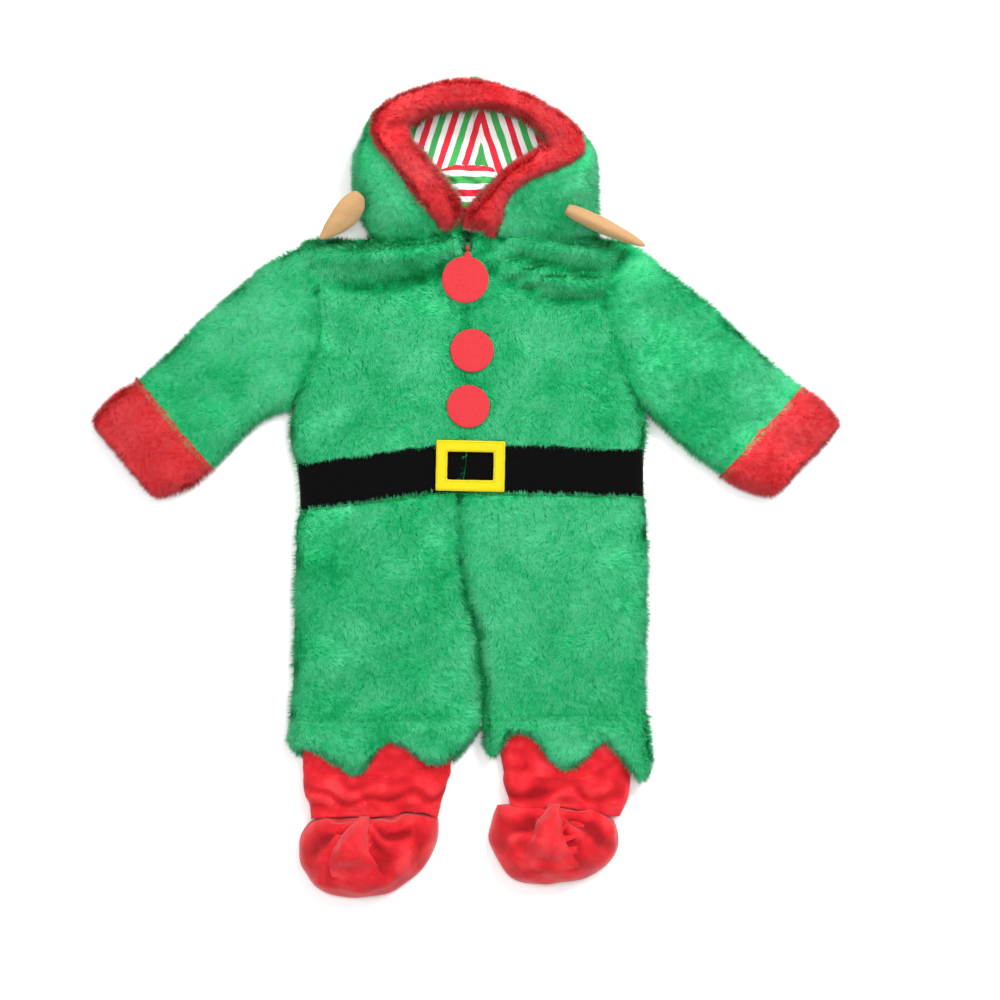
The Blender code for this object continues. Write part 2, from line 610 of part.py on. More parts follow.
def foot_back(side, x):
    """How far towards the leg the foot's outline reaches at each x."""
    middle = FEET[side]["middle"]
    bearing = np.radians(np.linspace(165, 15, 61))
    reach = foot_reach(side, bearing)
    return np.interp(x, middle[0] + reach * np.cos(bearing), middle[1] + reach * np.sin(bearing))


def ankle(side):
    """The padded shaft of the bootie, its lower end following the foot's outline."""
    table = ANKLES[side]
    end = table[-1]["level"]

    def following(share_of_way):
        def bow(share, line):
            bent = line.copy()
            fall = np.maximum(foot_back(side, line[:, 0]) + ANKLE_CLEAR - end, -ANKLE_FALL)
            bent[:, 1] += fall * share_of_way
            return bent

        return bow

    knots = np.linspace(0, 1, len(table))
    at = knots
    level = steps([row["level"] for row in table], at, knots)[:, 0]
    edges = steps([row["edges"] for row in table], at, knots)
    under = steps([row["under"] for row in table], at, knots)[:, 0]
    top = steps([row["top"] for row in table], at, knots)[:, 0]
    rings = []
    for i in range(len(at)):
        thick = min(VELOUR_PADDED, (top[i] - under[i]) / 2 - 0.5)
        middle = (top[i] + under[i]) / 2
        reach = min(TUBE_GAP / 2 + 0.6, middle - under[i] - thick)
        slot = (middle - reach, middle + reach)
        ends = (edges[i, 0], level[i]), (edges[i, 1], level[i])
        bow = following(ANKLE_FOLLOWS.get(i, 0.0))
        rings.append(flat_ring(*ends, top[i], slot, 12.0, 6.5, bottom=under[i], half=11, bow=bow))
    rings_to_wall("ankle_" + side, rings, "red velour")


def foot_reach(side, bearing):
    """The outline's distance from the foot's middle, on a closed smooth curve through its table."""
    table = FEET[side]
    known = np.array(table["bearing"], float)
    reach = np.array(table["reach"], float)
    knots = np.concatenate([known - 360, known, known + 360])
    return steps(np.tile(reach, 3), np.degrees(bearing) % 360, knots)[:, 0]


def foot_height(side, share):
    """The dome's height above the rim at a share of the outline's reach."""
    return (FEET[side]["high"] - FOOT_RIM) * (1 - np.clip(share, 0, 1) ** 2.6) ** 0.5


def foot_shell(side, inset, columns=27):
    """Rings of the gathered dome, moved in by inset all round."""
    middle = np.array(FEET[side]["middle"])
    bearing = 2 * np.pi * np.arange(columns) / columns
    reach = foot_reach(side, bearing)
    pleat = 1 - GATHER_DEPTH * (1 + np.cos(GATHERS * bearing)) / 2
    rings = []
    for share in FOOT_RINGS:
        shrink = 1 - inset / 40.0
        radial = reach * share * shrink * (1 - (1 - pleat) * min(1, share * 1.5))
        x = middle[0] + radial * np.cos(bearing)
        y = middle[1] + radial * np.sin(bearing)
        z = FOOT_RIM + foot_height(side, share) * shrink + 0 * x
        rings.append(stacked(x, y, z))
    return np.array(rings)


def dome(name, rings, finish, base):
    """A solid dome from rings, closed underneath at the height base."""
    floor = rings[:1].copy()
    floor[..., 2] = base
    middle = floor.mean(axis=1, keepdims=True) + 0 * floor
    grid = np.concatenate([middle, floor, rings])
    rows, columns = grid.shape[:2]
    number = np.arange(rows * columns).reshape(rows, columns)
    number = np.concatenate([number, number[:, :1]], axis=1)
    quads = np.stack([number[:-1, :-1], number[:-1, 1:], number[1:, 1:], number[1:, :-1]], axis=-1)
    return closed_mesh(name, grid.reshape(-1, 3) * MM, quads.reshape(-1, 4).tolist(), finish)


def foot(side):
    """Gathered upper, the hidden folded layers inside it, and the sole it stands on."""
    wall("foot_" + side, foot_shell(side, 0), foot_shell(side, VELOUR_PADDED), "red velour", tube=True)
    inside = foot_shell(side, VELOUR_PADDED + 0.6)
    inside[..., 2] += 0.1
    dome("foot_inside_" + side, inside, "red velour", FOOT_RIM)
    sole = foot_shell(side, 0)[:1]
    middle = np.array([*FEET[side]["middle"], 0])
    sole = middle + (sole - middle) * SOLE_SHARE
    sole[..., 2] = SOLE_THICK
    dome("sole_" + side, np.concatenate([sole, sole.mean(axis=1, keepdims=True) + 0 * sole]), "red velour", 0.0)


def toe(side):
    """The pointed end of the upper, curled back over the foot: a ridge whose underside follows the dome."""
    table = TOES[side]
    root, tip = np.array(table["root"]), np.array(table["tip"])
    along = np.linspace(0, 1, len(TOE_HALF_WIDTH))
    way = root + np.outer(along, tip - root)
    way[:, 0] += table["bend"] * np.sin(np.pi * along)
    turn = np.linspace(-1, 1, 7)
    middle = np.array(FEET[side]["middle"])
    x = way[:, :1] + np.outer(TOE_HALF_WIDTH, turn)
    y = way[:, 1:] + 0 * x
    bearing = np.arctan2(y - middle[1], x - middle[0])
    reach = foot_reach(side, bearing.ravel()).reshape(x.shape)
    share = np.hypot(x - middle[0], y - middle[1]) / reach
    base = FOOT_RIM + foot_height(side, np.clip(share * 0.97, 0, 0.93)) + 1.2
    base = np.maximum(base, base.max(axis=1, keepdims=True) - TOE_SIDE_DROP)
    ridge = np.outer(TOE_RIDGE, np.sqrt(np.clip(1 - turn**2, 0, 1))) + 0.8
    wall("toe_" + side, stacked(x, y, base + ridge), stacked(x, y, base), "red velour")


def hood_seam_x(y):
    """The line where the hood's halves meet: at the zip by the neck, moving over to the crown's middle."""
    share = np.clip((y - HOOD_SEAM["from_y"]) / (HOOD_SEAM["to_y"] - HOOD_SEAM["from_y"]), 0, 1)
    return HOOD_SEAM["neck_x"] + (HOOD_SEAM["crown_x"] - HOOD_SEAM["neck_x"]) * share**2 * (3 - 2 * share)


def hood_points(side, u, v, depth=0.0):
    """A hood half's surface at a depth: u from neck to crown seam, v from face opening to back seam.

    Each section runs edge, band, puffed side, widest point, tuck under, back seam, on a smooth curve.
    """
    table = HOOD[side]
    knots = np.linspace(0, 1, len(table["edge"]))
    edge = steps(table["edge"], u, knots)
    band = steps(table["band"], u, knots)
    flat_side = steps(table["side"], u, knots)
    seam_y = steps(table["seam_y"], u, knots)[:, 0]
    rows = len(flat_side)
    puff = band.copy()
    puff[:, :2] += 0.7 * (flat_side - band[:, :2])
    apart = np.linalg.norm(flat_side - band[:, :2], axis=1)
    puff[:, 2] += HOOD_PUFF * np.clip(apart / 40, 0, 1) - 5 * np.clip(1 - apart / 15, 0, 1)
    widest = np.column_stack([flat_side, np.full(rows, HOOD_SIDE_HEIGHT)])
    widest[:, 2] = np.minimum(widest[:, 2], band[:, 2] * 0.6)
    inward = np.array(HOOD_MIDDLE) - flat_side
    inward /= np.linalg.norm(inward, axis=1, keepdims=True)
    inward[:, 1:] *= np.clip((flat_side[:, 1:] - SHOULDER_LEVEL) / 12, 0, 1)
    tucked = np.column_stack([flat_side + HOOD_TUCK * inward, np.zeros(rows)])
    seam = np.column_stack([hood_seam_x(seam_y), seam_y, np.zeros(rows)])
    nodes = np.stack([edge, band, puff, widest, tucked, seam])
    inside = np.column_stack([inward, np.zeros(rows)])
    upright = np.array([0.0, 0.0, 1.0])
    for i, (inner_share, rise) in enumerate(HOOD_DEPTH_WAYS):
        nodes[i] += depth * (inner_share * inside + rise * upright)
    found = steps(nodes.reshape(len(HOOD_KNOTS), -1), v, HOOD_KNOTS)
    moved = found.reshape(len(v), rows, 3).transpose(1, 0, 2).copy()
    clear = max(depth, 0) * 0.03
    away = HOOD_SEAM_HALF + clear
    if side == "right":
        moved[..., 0] = np.minimum(moved[..., 0], hood_seam_x(moved[..., 1]) - away)
    else:
        moved[..., 0] = np.maximum(moved[..., 0], hood_seam_x(moved[..., 1]) + away)
    neckline = SHOULDER_LEVEL + NECK_GAP + clear + neck_rise(moved[..., 0])
    moved[..., 1] = np.maximum(moved[..., 1], neckline)
    return moved


def hood_half(side):
    u = np.linspace(0, 1, HOOD_STATIONS)
    outer, inner = (hood_points(side, u, np.array(HOOD_ACROSS), depth) for depth in (0, HOOD_PLUSH))
    outer[..., 2] = np.maximum(outer[..., 2], 0)
    wall("hood_" + side, outer, inner, "green plush")
    against = HOOD_PLUSH + 2 * GAP
    lining = [hood_points(side, u, np.array(HOOD_ACROSS), depth) for depth in (against, against + JERSEY)]
    wall("hood_lining_" + side, *lining, "striped jersey")


def hood_trim():
    """The fur band: one strip round the face opening, lying on the two hood halves."""
    v = np.array(BAND_ACROSS)
    plump = BAND_THICK * np.sin(np.pi * np.linspace(0.06, 0.94, len(v))) ** 0.7
    under, over = [], []
    for side, order in (("right", slice(None)), ("left", slice(None, None, -1))):
        u = np.linspace(BAND_START[side], 1, HOOD_STATIONS)
        under.append(hood_points(side, u, v, -BAND_GAP)[order])
        taper = np.clip(0.35 + u / 0.12, 0, 1)[:, None]
        thick = (plump * taper)[order][..., None]
        surface = hood_points(side, u, v, 0)[order]
        lifted = hood_points(side, u, v, -1)[order]
        over.append(surface + (lifted - surface) * (thick + BAND_GAP))
    under = np.concatenate([under[0][:-1], under[1]])
    over = np.concatenate([over[0][:-1], over[1]])
    wall("hood_trim", over, under, "red plush")


def neck_lining():
    table = NECK_LINING
    base = HOOD_PLUSH + GAP + JERSEY + GAP
    turn = np.linspace(-1, 1, 7)
    rows = []
    for row in table:
        left, right = row["ends"]
        x = (left + right) / 2 + (right - left) / 2 * turn
        z = base + JERSEY * 0.5 + row["high"] * np.clip(1 - turn**4, 0, 1)
        y = row["level"] - 4 * turn**2 * (row["level"] > 265)
        rows.append(stacked(x, y, z))
    over = np.array(rows)
    under = over.copy()
    under[..., 2] = base
    wall("neck_lining", over, under, "striped jersey")


def ear(side):
    """A stuffed leaf shape: elliptical sections along an axis, the flat side turned from upright."""
    table = EARS[side]
    root, tip = np.array(table["root"]), np.array(table["tip"])
    axis = (tip - root) / np.linalg.norm(tip - root)
    level = np.cross(axis, (0, 0, 1))
    level /= np.linalg.norm(level)
    upright = np.cross(level, axis)
    turn = math.radians(table["turn"])
    broad = math.cos(turn) * upright + math.sin(turn) * level
    thin = math.cos(turn) * level - math.sin(turn) * upright
    round_about = 2 * np.pi * np.arange(12) / 12
    rings = []
    for along, width, thick in zip(EAR_ALONG, EAR_HALF_WIDTH, EAR_HALF_THICK):
        centre = root + along * (tip - root) - broad * 3 * math.sin(math.pi * along)
        rings.append(
            centre
            + np.outer(width * np.cos(round_about), broad)
            + np.outer(thick * np.sin(round_about), thin)
        )
    rings = np.array(rings)
    ends = [ring.mean(axis=0) + 0 * rings[:1] for ring in (rings[0], rings[-1])]
    grid = np.concatenate([ends[0], rings, ends[1]])
    rows, columns = grid.shape[:2]
    number = np.arange(rows * columns).reshape(rows, columns)
    number = np.concatenate([number, number[:, :1]], axis=1)
    quads = np.stack([number[:-1, :-1], number[:-1, 1:], number[1:, 1:], number[1:, :-1]], axis=-1)
    closed_mesh("ear_" + side, grid.reshape(-1, 3) * MM, quads.reshape(-1, 4).tolist(), "tan fleece")


def belt(side):
    """A belt length lying on the front panel's own points, moved out."""
    levels = (BELT_TOP - 0.4, 18, BELT_BOTTOM + 0.4)
    x, y, level, from_side, from_centre = body_grid(side, levels, FRONT_ACROSS)
    top = front_top(x, y, level, from_side, from_centre)
    wall("belt_" + side, stacked(x, y, top + 0.4 + VELVET), stacked(x, y, top + 0.4), "black velvet")


def surface_at(x, y):
    """The front's height at any point near the centre, away from its edges."""
    return CROWN + fold_height(np.asarray(x, float), np.asarray(y, float))


def disc_base(name):
    """The height a disc rests at: just above the highest pile under it."""
    x0, y0 = DISCS[name]["middle"]
    share, about = np.meshgrid(np.linspace(0, 1, 6), 2 * np.pi * np.arange(36) / 36)
    reach = DISCS[name]["radius"] * share
    return surface_at(x0 + reach * np.cos(about), y0 + reach * np.sin(about)).max() + 0.5


def disc(name, base):
    """A felt disc: a flat round plate with a softened upper edge."""
    x0, y0 = DISCS[name]["middle"]
    about = 2 * np.pi * np.arange(32) / 32
    rings = []
    for share, height in ((1.0, 0.5), (1.0, FELT - 0.6), (0.96, FELT), (0.0, FELT)):
        reach = DISCS[name]["radius"] * share
        rings.append(stacked(x0 + reach * np.cos(about), y0 + reach * np.sin(about), base + height))
    dome(name, np.array(rings), "red felt", base)


def buckle():
    """The felt frame, lying over the belt's two ends."""
    middle, size = np.array(BUCKLE["middle"]), np.array(BUCKLE["size"]) / 2
    turn = math.radians(BUCKLE["turn"])
    spin = np.array([[math.cos(turn), math.sin(turn)], [-math.sin(turn), math.cos(turn)]])
    side = np.linspace(-1, 1, 6)[:-1]
    loop = np.concatenate([[(t, -1) for t in side], [(1, t) for t in side], [(-t, 1) for t in side],
                           [(-1, -t) for t in side]])
    over = []
    for border in (0, 0.6, BUCKLE["border"] - 0.6, BUCKLE["border"]):
        flat = middle + (loop * (size - border)) @ spin
        over.append(np.column_stack([flat, surface_at(*flat.T) + 0.5]))
    over = np.array(over)
    raised = np.array([FELT - 0.6, FELT, FELT, FELT - 0.6])[:, None, None] * np.array([0, 0, 1])
    wall("buckle", over + raised, over, "yellow felt", tube=True)


def zip_tapes():
    for side, sign in (("right", -1), ("left", 1)):
        levels = np.array([212, 198, 180, 150, 110, 76, 40, 0, -30, -60, -85.0])
        x = column(CENTRE_EDGE, "x", levels)[:, None] + sign * np.array([0.4, 14.0])
        y = levels[:, None] + neck_rise(x) * np.clip((levels[:, None] - 189) / 24, 0, 1) ** 2
        base = PLUSH_BACK + GAP
        wall("zip_tape_" + side, stacked(x, y, base + ZIP_TAPE), stacked(x, y, base), "green zip")


def prism(outline, low, high):
    """Corners and faces of an outline in y and z drawn out along x."""
    count = len(outline)
    corners = [(x, y, z) for x in (low, high) for y, z in outline]
    sides = [(i, (i + 1) % count, count + (i + 1) % count, count + i) for i in range(count)]
    return corners, sides + [tuple(range(count - 1, -1, -1)), tuple(range(count, 2 * count))]


def joined_solid(name, solids, finish):
    """One body from several overlapping solids."""
    made = []
    for corners, faces in solids:
        closed_mesh(name + "_piece", np.array(corners, float) * MM, faces, finish)
        made.append(bpy.data.collections["elf_coverall"].objects[-1])
    base = made[0]
    base.name = name
    for other in made[1:]:
        join = base.modifiers.new("join", "BOOLEAN")
        join.operation, join.solver, join.object = "UNION", "EXACT", other
    drawn = bpy.data.meshes.new_from_object(base.evaluated_get(bpy.context.evaluated_depsgraph_get()))
    base.modifiers.clear()
    base.data = drawn
    for other in made[1:]:
        bpy.data.objects.remove(other)


def zip_pull(base):
    """The slider with its bar, and the red loop hung on the bar under the disc."""
    x0, y0 = PULL["pivot"]
    z0 = base - GAP - PULL["thick"] / 2
    low = PLUSH_BACK + GAP + ZIP_TAPE + GAP
    half, reach = SLIDER["half_width"], SLIDER["half_long"]
    post, wide = SLIDER["post_x"], SLIDER["post_wide"]
    body = [(y0 - reach, low), (y0 + reach, low), (y0 + reach, z0 - 3.4), (y0 - reach, z0 - 3.4)]
    cheek = [(y0 - 1.6, z0 - 3.6), (y0 + 1.6, z0 - 3.6), (y0 + 1.6, z0 + 1.6), (y0 - 1.6, z0 + 1.6)]
    turn = 2 * np.pi * np.arange(12) / 12
    circle = np.column_stack([np.cos(turn), np.sin(turn)])
    bar = np.array([y0, z0]) + PULL["bar"] * circle
    joined_solid("zip_slider", [
        prism(body, x0 - half, x0 + half),
        prism(cheek, x0 - post - wide, x0 - post),
        prism(cheek, x0 + post, x0 + post + wide),
        prism(bar, x0 - post - wide / 2, x0 + post + wide / 2),
    ], "enamelled zinc")
    eye = PULL["eye"]
    hub = np.array([y0, z0]) + (eye + PULL["thick"]) * circle
    hole = np.array([y0, z0]) + eye * circle
    # The eye is a ring about the bar, and the strap leaves it level towards the disc
    ring = []
    for x in (x0 - PULL["neck"], x0 + PULL["neck"]):
        ring.append((x, hub, hole))
    corners = [(x, *point) for x, big, small in ring for point in (*big, *small)]
    faces = []
    for i in range(12):
        j = (i + 1) % 12
        faces += [(i, j, 24 + j, 24 + i), (12 + j, 12 + i, 36 + i, 36 + j), (j, i, 12 + i, 12 + j),
                  (24 + i, 24 + j, 36 + j, 36 + i)]
    thick = PULL["thick"] / 2
    solids = [(corners, faces)]
    for wide, near, far in ((PULL["neck"], y0 - eye - 0.3, y0 - 5), (PULL["half_width"], y0 - 4, PULL["end_y"])):
        strap = [(far, z0 - thick), (near, z0 - thick), (near, z0 + thick), (far, z0 + thick)]
        solids.append(prism(strap, x0 - wide, x0 + wide))
    joined_solid("zip_pull", solids, "red felt")


def start():
    for old in list(bpy.data.objects):
        bpy.data.objects.remove(old)
    group = bpy.data.collections.new("elf_coverall")
    bpy.context.scene.collection.children.link(group)


def main():
    start()
    for side in ("right", "left"):
        back(side)
        front(side)
        sleeve(side)
        cuff(side)
        hem(side)
        ankle(side)
        foot(side)
        toe(side)
        hood_half(side)
        ear(side)
        belt(side)
    hood_trim()
    neck_lining()
    buckle()
    zip_tapes()
    for name in ("button_middle", "button_lower"):
        disc(name, disc_base(name))
    disc("pull_disc", disc_base("pull_disc") + PULL["thick"] + GAP)
    zip_pull(disc_base("pull_disc") + PULL["thick"] + GAP)


main()
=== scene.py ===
"""Looks for the elf coverall: pile, velour, felt, velvet and striped jersey on the CAD cloth.

Each soft CAD solid is replaced by a finer copy of itself, and the plush gets a pile of short blades.
Lengths inside the functions are metres; sizes in the tables are millimetres.
"""

import math

import bmesh
import bpy
import numpy as np
from mathutils.bvhtree import BVHTree
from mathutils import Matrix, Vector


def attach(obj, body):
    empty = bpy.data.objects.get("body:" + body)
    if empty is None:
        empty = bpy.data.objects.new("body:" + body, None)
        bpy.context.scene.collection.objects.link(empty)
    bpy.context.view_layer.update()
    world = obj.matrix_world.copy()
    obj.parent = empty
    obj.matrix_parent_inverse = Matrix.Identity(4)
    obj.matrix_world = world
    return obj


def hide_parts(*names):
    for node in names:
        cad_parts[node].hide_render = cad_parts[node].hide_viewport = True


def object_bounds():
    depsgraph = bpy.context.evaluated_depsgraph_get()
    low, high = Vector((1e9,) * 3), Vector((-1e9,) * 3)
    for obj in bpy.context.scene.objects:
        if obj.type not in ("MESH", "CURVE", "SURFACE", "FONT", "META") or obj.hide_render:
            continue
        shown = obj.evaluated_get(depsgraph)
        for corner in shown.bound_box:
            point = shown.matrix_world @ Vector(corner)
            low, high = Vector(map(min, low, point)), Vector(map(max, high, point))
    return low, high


MM = 0.001
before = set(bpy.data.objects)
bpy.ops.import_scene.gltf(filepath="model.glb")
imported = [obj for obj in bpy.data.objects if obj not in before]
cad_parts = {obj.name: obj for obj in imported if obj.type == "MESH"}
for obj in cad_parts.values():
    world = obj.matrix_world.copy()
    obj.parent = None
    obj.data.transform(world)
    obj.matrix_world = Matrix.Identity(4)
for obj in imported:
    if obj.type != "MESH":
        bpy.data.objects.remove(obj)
cad_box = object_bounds()
rng = np.random.default_rng(24)


# Materials


def linear(hex_colour):
    """An sRGB hex colour as linear RGBA: ((c + 0.055) / 1.055) ** 2.4, or c / 12.92 where c is dark."""
    parts = [int(hex_colour[i : i + 2], 16) / 255 for i in (1, 3, 5)]
    return (*(c / 12.92 if c <= 0.04045 else ((c + 0.055) / 1.055) ** 2.4 for c in parts), 1.0)


def add(tree, kind, links=None, stops=(), fixed=None, **settings):
    """Adds a node with its settings and links.

    Settings name inputs or properties, fixed gives numbered inputs their values, links name inputs and the
    sockets they take, and stops are a colour ramp's (place, hex colour) pairs.
    """
    node = tree.nodes.new("ShaderNode" + kind)
    for name, value in (*settings.items(), *(fixed or {}).items()):
        if isinstance(name, int) or name in node.inputs:
            node.inputs[name].default_value = value
        else:
            setattr(node, name, value)
    for name, socket in (links or {}).items():
        tree.links.new(socket, node.inputs[name])
    if stops:
        bar = node.color_ramp.elements
        while len(bar) < len(stops):
            bar.new(0.5)
        for element, (place, colour) in zip(bar, stops):
            element.position, element.color = place, linear(colour)
    return node


def start_material(name):
    made = bpy.data.materials.new(name)
    made.use_nodes = True
    return made, made.node_tree, made.node_tree.nodes["Principled BSDF"]


def finish_shader(tree, shader, colour, roughness, sheen=0.0, height=None, distance=0.0004, strength=0.5):
    """Puts colour, roughness, sheen and a bump from a height socket into the shader."""
    tree.links.new(colour, shader.inputs["Base Color"])
    shader.inputs["Roughness"].default_value = roughness
    shader.inputs["Sheen Weight"].default_value = sheen
    shader.inputs["Sheen Roughness"].default_value = 0.45
    shader.inputs["Specular IOR Level"].default_value = 0.1
    if height is not None:
        bump = add(tree, "Bump", {"Height": height}, Strength=strength, Distance=distance)
        tree.links.new(bump.outputs["Normal"], shader.inputs["Normal"])


def object_point(tree, stretch=(1, 1, 1)):
    where = add(tree, "TexCoord")
    return add(tree, "Mapping", {"Vector": where.outputs["Object"]}, Scale=stretch).outputs["Vector"]


def pile_material(name, dark, middle, light, fold=0.8):
    """Polyester plush pile: dull fibres, darker at the root, paler at the tips, with painted shade in
    creases.

    The shade is 0.5 * along the fibre + 0.3 * its lock + 0.85 * broad noise - the crease weight * how deep in
    a crease it stands - 0.2. The crease term is painted shade.
    """
    made, tree, shader = start_material(name)
    strand = add(tree, "Attribute", attribute_name="strand")
    parts = add(tree, "SeparateColor", {"Color": strand.outputs["Color"]})
    broad = add(tree, "TexNoise", {"Vector": object_point(tree)}, Scale=24.0, Detail=4.0)
    shade = add(tree, "Math", {0: parts.outputs["Red"]}, fixed={1: 0.5, 2: -0.2}, operation="MULTIPLY_ADD")
    # The blue channel's term is painted shade, darker where the fibre stands in a crease
    for socket, weight in (
        (parts.outputs["Green"], 0.3), (broad.outputs["Fac"], 0.85), (parts.outputs["Blue"], -fold)
    ):
        shade = add(tree, "Math", {0: socket, 2: shade.outputs["Value"]}, fixed={1: weight},
                    operation="MULTIPLY_ADD")
    stops = ((0.1, dark), (0.5, middle), (1.0, light))
    colour = add(tree, "ValToRGB", {"Fac": shade.outputs["Value"]}, stops)
    finish_shader(tree, shader, colour.outputs["Color"], 0.85, 0.08)
    return made


def velour_material():
    """Crushed velour: a 1 mm pile whose lie turns it from deep to pale red in patches.

    The shade is broad noise + 0.35 * fine noise - 0.6 * how deep in a crease it lies; that last term is
    painted shade.
    """
    made, tree, shader = start_material("crushed_velour_red")
    point = object_point(tree)
    lie = add(tree, "TexNoise", {"Vector": point}, Scale=48.0, Detail=3.0, Distortion=0.4)
    grain = add(tree, "TexNoise", {"Vector": point}, Scale=1300.0, Detail=2.0)
    mixed = add(tree, "Math", {0: grain.outputs["Fac"], 2: lie.outputs["Fac"]}, fixed={1: 0.35},
                operation="MULTIPLY_ADD")
    # Painted shade: the velour darkens where it lies deep in a pleat or wrinkle
    fold = add(tree, "Attribute", attribute_name="fold")
    painted_shade_mix = add(tree, "Math", {0: fold.outputs["Fac"], 2: mixed.outputs["Value"]}, fixed={1: -0.6},
               operation="MULTIPLY_ADD")
    stops = ((0.1, "#900812"), (0.6, "#CC1C26"), (1.0, "#E64248"))
    colour = add(tree, "ValToRGB", {"Fac": painted_shade_mix.outputs["Value"]}, stops)
    finish_shader(tree, shader, colour.outputs["Color"], 0.8, 0.22, grain.outputs["Fac"], 0.0003, 0.6)
    return made


# The stripes' repeat, and how far their edges wander
STRIPE_REPEAT = 0.0215
STRIPE_WOBBLE = 0.003


def stripe_material(name, seam, lean):
    """Printed jersey: white, green and red stripes 5 to 6 mm wide on 1.2 mm knit ribs.

    The stripes read y + lean * |x - seam|, so both halves meet in chevrons at the seam.
    With no seam they read y.
    """
    made, tree, shader = start_material(name)
    parts = add(tree, "SeparateXYZ", {"Vector": object_point(tree)})
    across = parts.outputs["Y"]
    if seam is not None:
        off = add(tree, "Math", {0: parts.outputs["X"]}, fixed={1: seam}, operation="SUBTRACT")
        away = add(tree, "Math", {0: off.outputs["Value"]}, operation="ABSOLUTE")
        across = add(tree, "Math", {0: across, 2: away.outputs["Value"]}, fixed={1: lean},
                     operation="MULTIPLY_ADD").outputs["Value"]
    wobble = add(tree, "TexNoise", {"Vector": object_point(tree)}, Scale=60.0, Detail=1.0)
    bent = add(tree, "Math", {0: wobble.outputs["Fac"], 2: across}, fixed={1: STRIPE_WOBBLE},
               operation="MULTIPLY_ADD")
    period = add(tree, "Math", {0: bent.outputs["Value"]}, fixed={1: 1 / STRIPE_REPEAT}, operation="MULTIPLY")
    turn = add(tree, "Math", {0: period.outputs["Value"]}, operation="FRACT")
    stops = ((0.0, "#FFFDFC"), (0.23, "#4AB45E"), (0.5, "#FFFDFC"), (0.73, "#EC3444"))
    bands = add(tree, "ValToRGB", {"Fac": turn.outputs["Value"]}, stops)
    bands.color_ramp.interpolation = "CONSTANT"
    knit = add(tree, "TexWave", {"Vector": object_point(tree)}, Scale=150.0, Distortion=1.5, Detail=2.0)
    finish_shader(tree, shader, bands.outputs["Color"], 0.85, 0.2, knit.outputs["Fac"], 0.0002, 0.4)
    return made


def fine_material(name, dark, light, roughness, grain, sheen=0.3, depth=0.0003, stretch=1.0):
    """A short-napped cloth, felt or enamel: two close shades over a fine grain, drawn out by stretch."""
    made, tree, shader = start_material(name)
    point = object_point(tree, (1, stretch, 1))
    noise = add(tree, "TexNoise", {"Vector": point}, Scale=grain, Detail=4.0, Distortion=stretch - 1.0)
    colour = add(tree, "ValToRGB", {"Fac": noise.outputs["Fac"]}, ((0.33, dark), (0.68, light)))
    finish_shader(tree, shader, colour.outputs["Color"], roughness, sheen, noise.outputs["Fac"], depth, 0.5)
    return made


# The pile's three shades give soft locks with dark partings, and its backing shows only between them
GREEN_PILE = pile_material("plush_pile_green", "#027638", "#14BE6E", "#6AE8AC")
# The red pile takes a weaker painted crease shade (0.35)
RED_PILE = pile_material("plush_pile_red", "#A80812", "#E4282F", "#FC5E62", 0.35)
GREEN_BACK = fine_material("plush_backing_green", "#067A3E", "#10A656", 0.95, 900.0, 0.2, 0.0008)
RED_BACK = fine_material("plush_backing_red", "#860810", "#BE1822", 0.95, 900.0, 0.2, 0.0008)
VELOUR = velour_material()
# Felt: matt, with short fibres lying every way, so it reads flatter than the plush round it
RED_FELT = fine_material("pressed_felt_red", "#BE2C34", "#D03E44", 0.92, 900.0, 0.15, 0.0003, 2.2)
YELLOW_FELT = fine_material("pressed_felt_yellow", "#C8B80C", "#D8CA26", 0.92, 900.0, 0.15, 0.0003, 2.2)
# Velvet drinks the light, and shows only as a soft edge
VELVET = fine_material("velvet_black", "#020202", "#060606", 0.98, 700.0, 0.03)
FLEECE = fine_material("brushed_fleece_tan", "#AE865A", "#C29C70", 0.9, 1400.0, 0.15)
ZIP_TAPE = fine_material("woven_zip_tape_green", "#06401F", "#0B5C2E", 0.8, 1200.0, 0.1)
ZIP_TOOTH = fine_material("moulded_zip_tooth_green", "#0A4A26", "#0F6234", 0.4, 500.0, 0.0, 0.00005)
THREAD = fine_material("polyester_thread_yellow", "#C2A800", "#E0CC10", 0.6, 2500.0, 0.1)
ENAMEL = fine_material("enamelled_zinc_green", "#0B5A2C", "#0E6A34", 0.35, 300.0, 0.0, 0.00005)
CHEVRONS = stripe_material("striped_jersey_chevrons", 0.0095, 0.32)
BANDS = stripe_material("striped_jersey_bands", None, 0.0)


# Surfaces


def waves(points, size, seed):
    """A smooth random field of about -1 to 1.

    It is nine sine waves of wavelength near size, each in a random direction, summed and divided by 3.2.
    """
    draw = np.random.default_rng(seed)
    ways = draw.normal(size=(9, 3))
    ways /= np.linalg.norm(ways, axis=1, keepdims=True)
    ways *= 2 * np.pi / (size * draw.uniform(0.7, 1.5, (9, 1)))
    return np.sin(points @ ways.T + draw.uniform(0, 2 * np.pi, 9)).sum(axis=1) / 3.2


def read(mesh):
    """Points, normals and triangles of a mesh as arrays."""
    mesh.calc_loop_triangles()
    points = np.empty(len(mesh.vertices) * 3)
    normals = np.empty(len(mesh.vertices) * 3)
    triangles = np.empty(len(mesh.loop_triangles) * 3, dtype=np.int64)
    mesh.vertices.foreach_get("co", points)
    mesh.vertices.foreach_get("normal", normals)
    mesh.loop_triangles.foreach_get("vertices", triangles)
    return points.reshape(-1, 3), normals.reshape(-1, 3), triangles.reshape(-1, 3)


def cad_tree(left_out=()):
    """The CAD nodes' triangles in one tree, to find what lies against what."""
    points, faces = [], []
    for name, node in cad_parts.items():
        if name in left_out:
            continue
        mesh = node.data.copy()
        mesh.transform(node.matrix_world)
        found, _, triangles = read(mesh)
        faces += (triangles + len(points)).tolist()
        points += found.tolist()
        bpy.data.meshes.remove(mesh)
    return BVHTree.FromPolygons(points, faces)


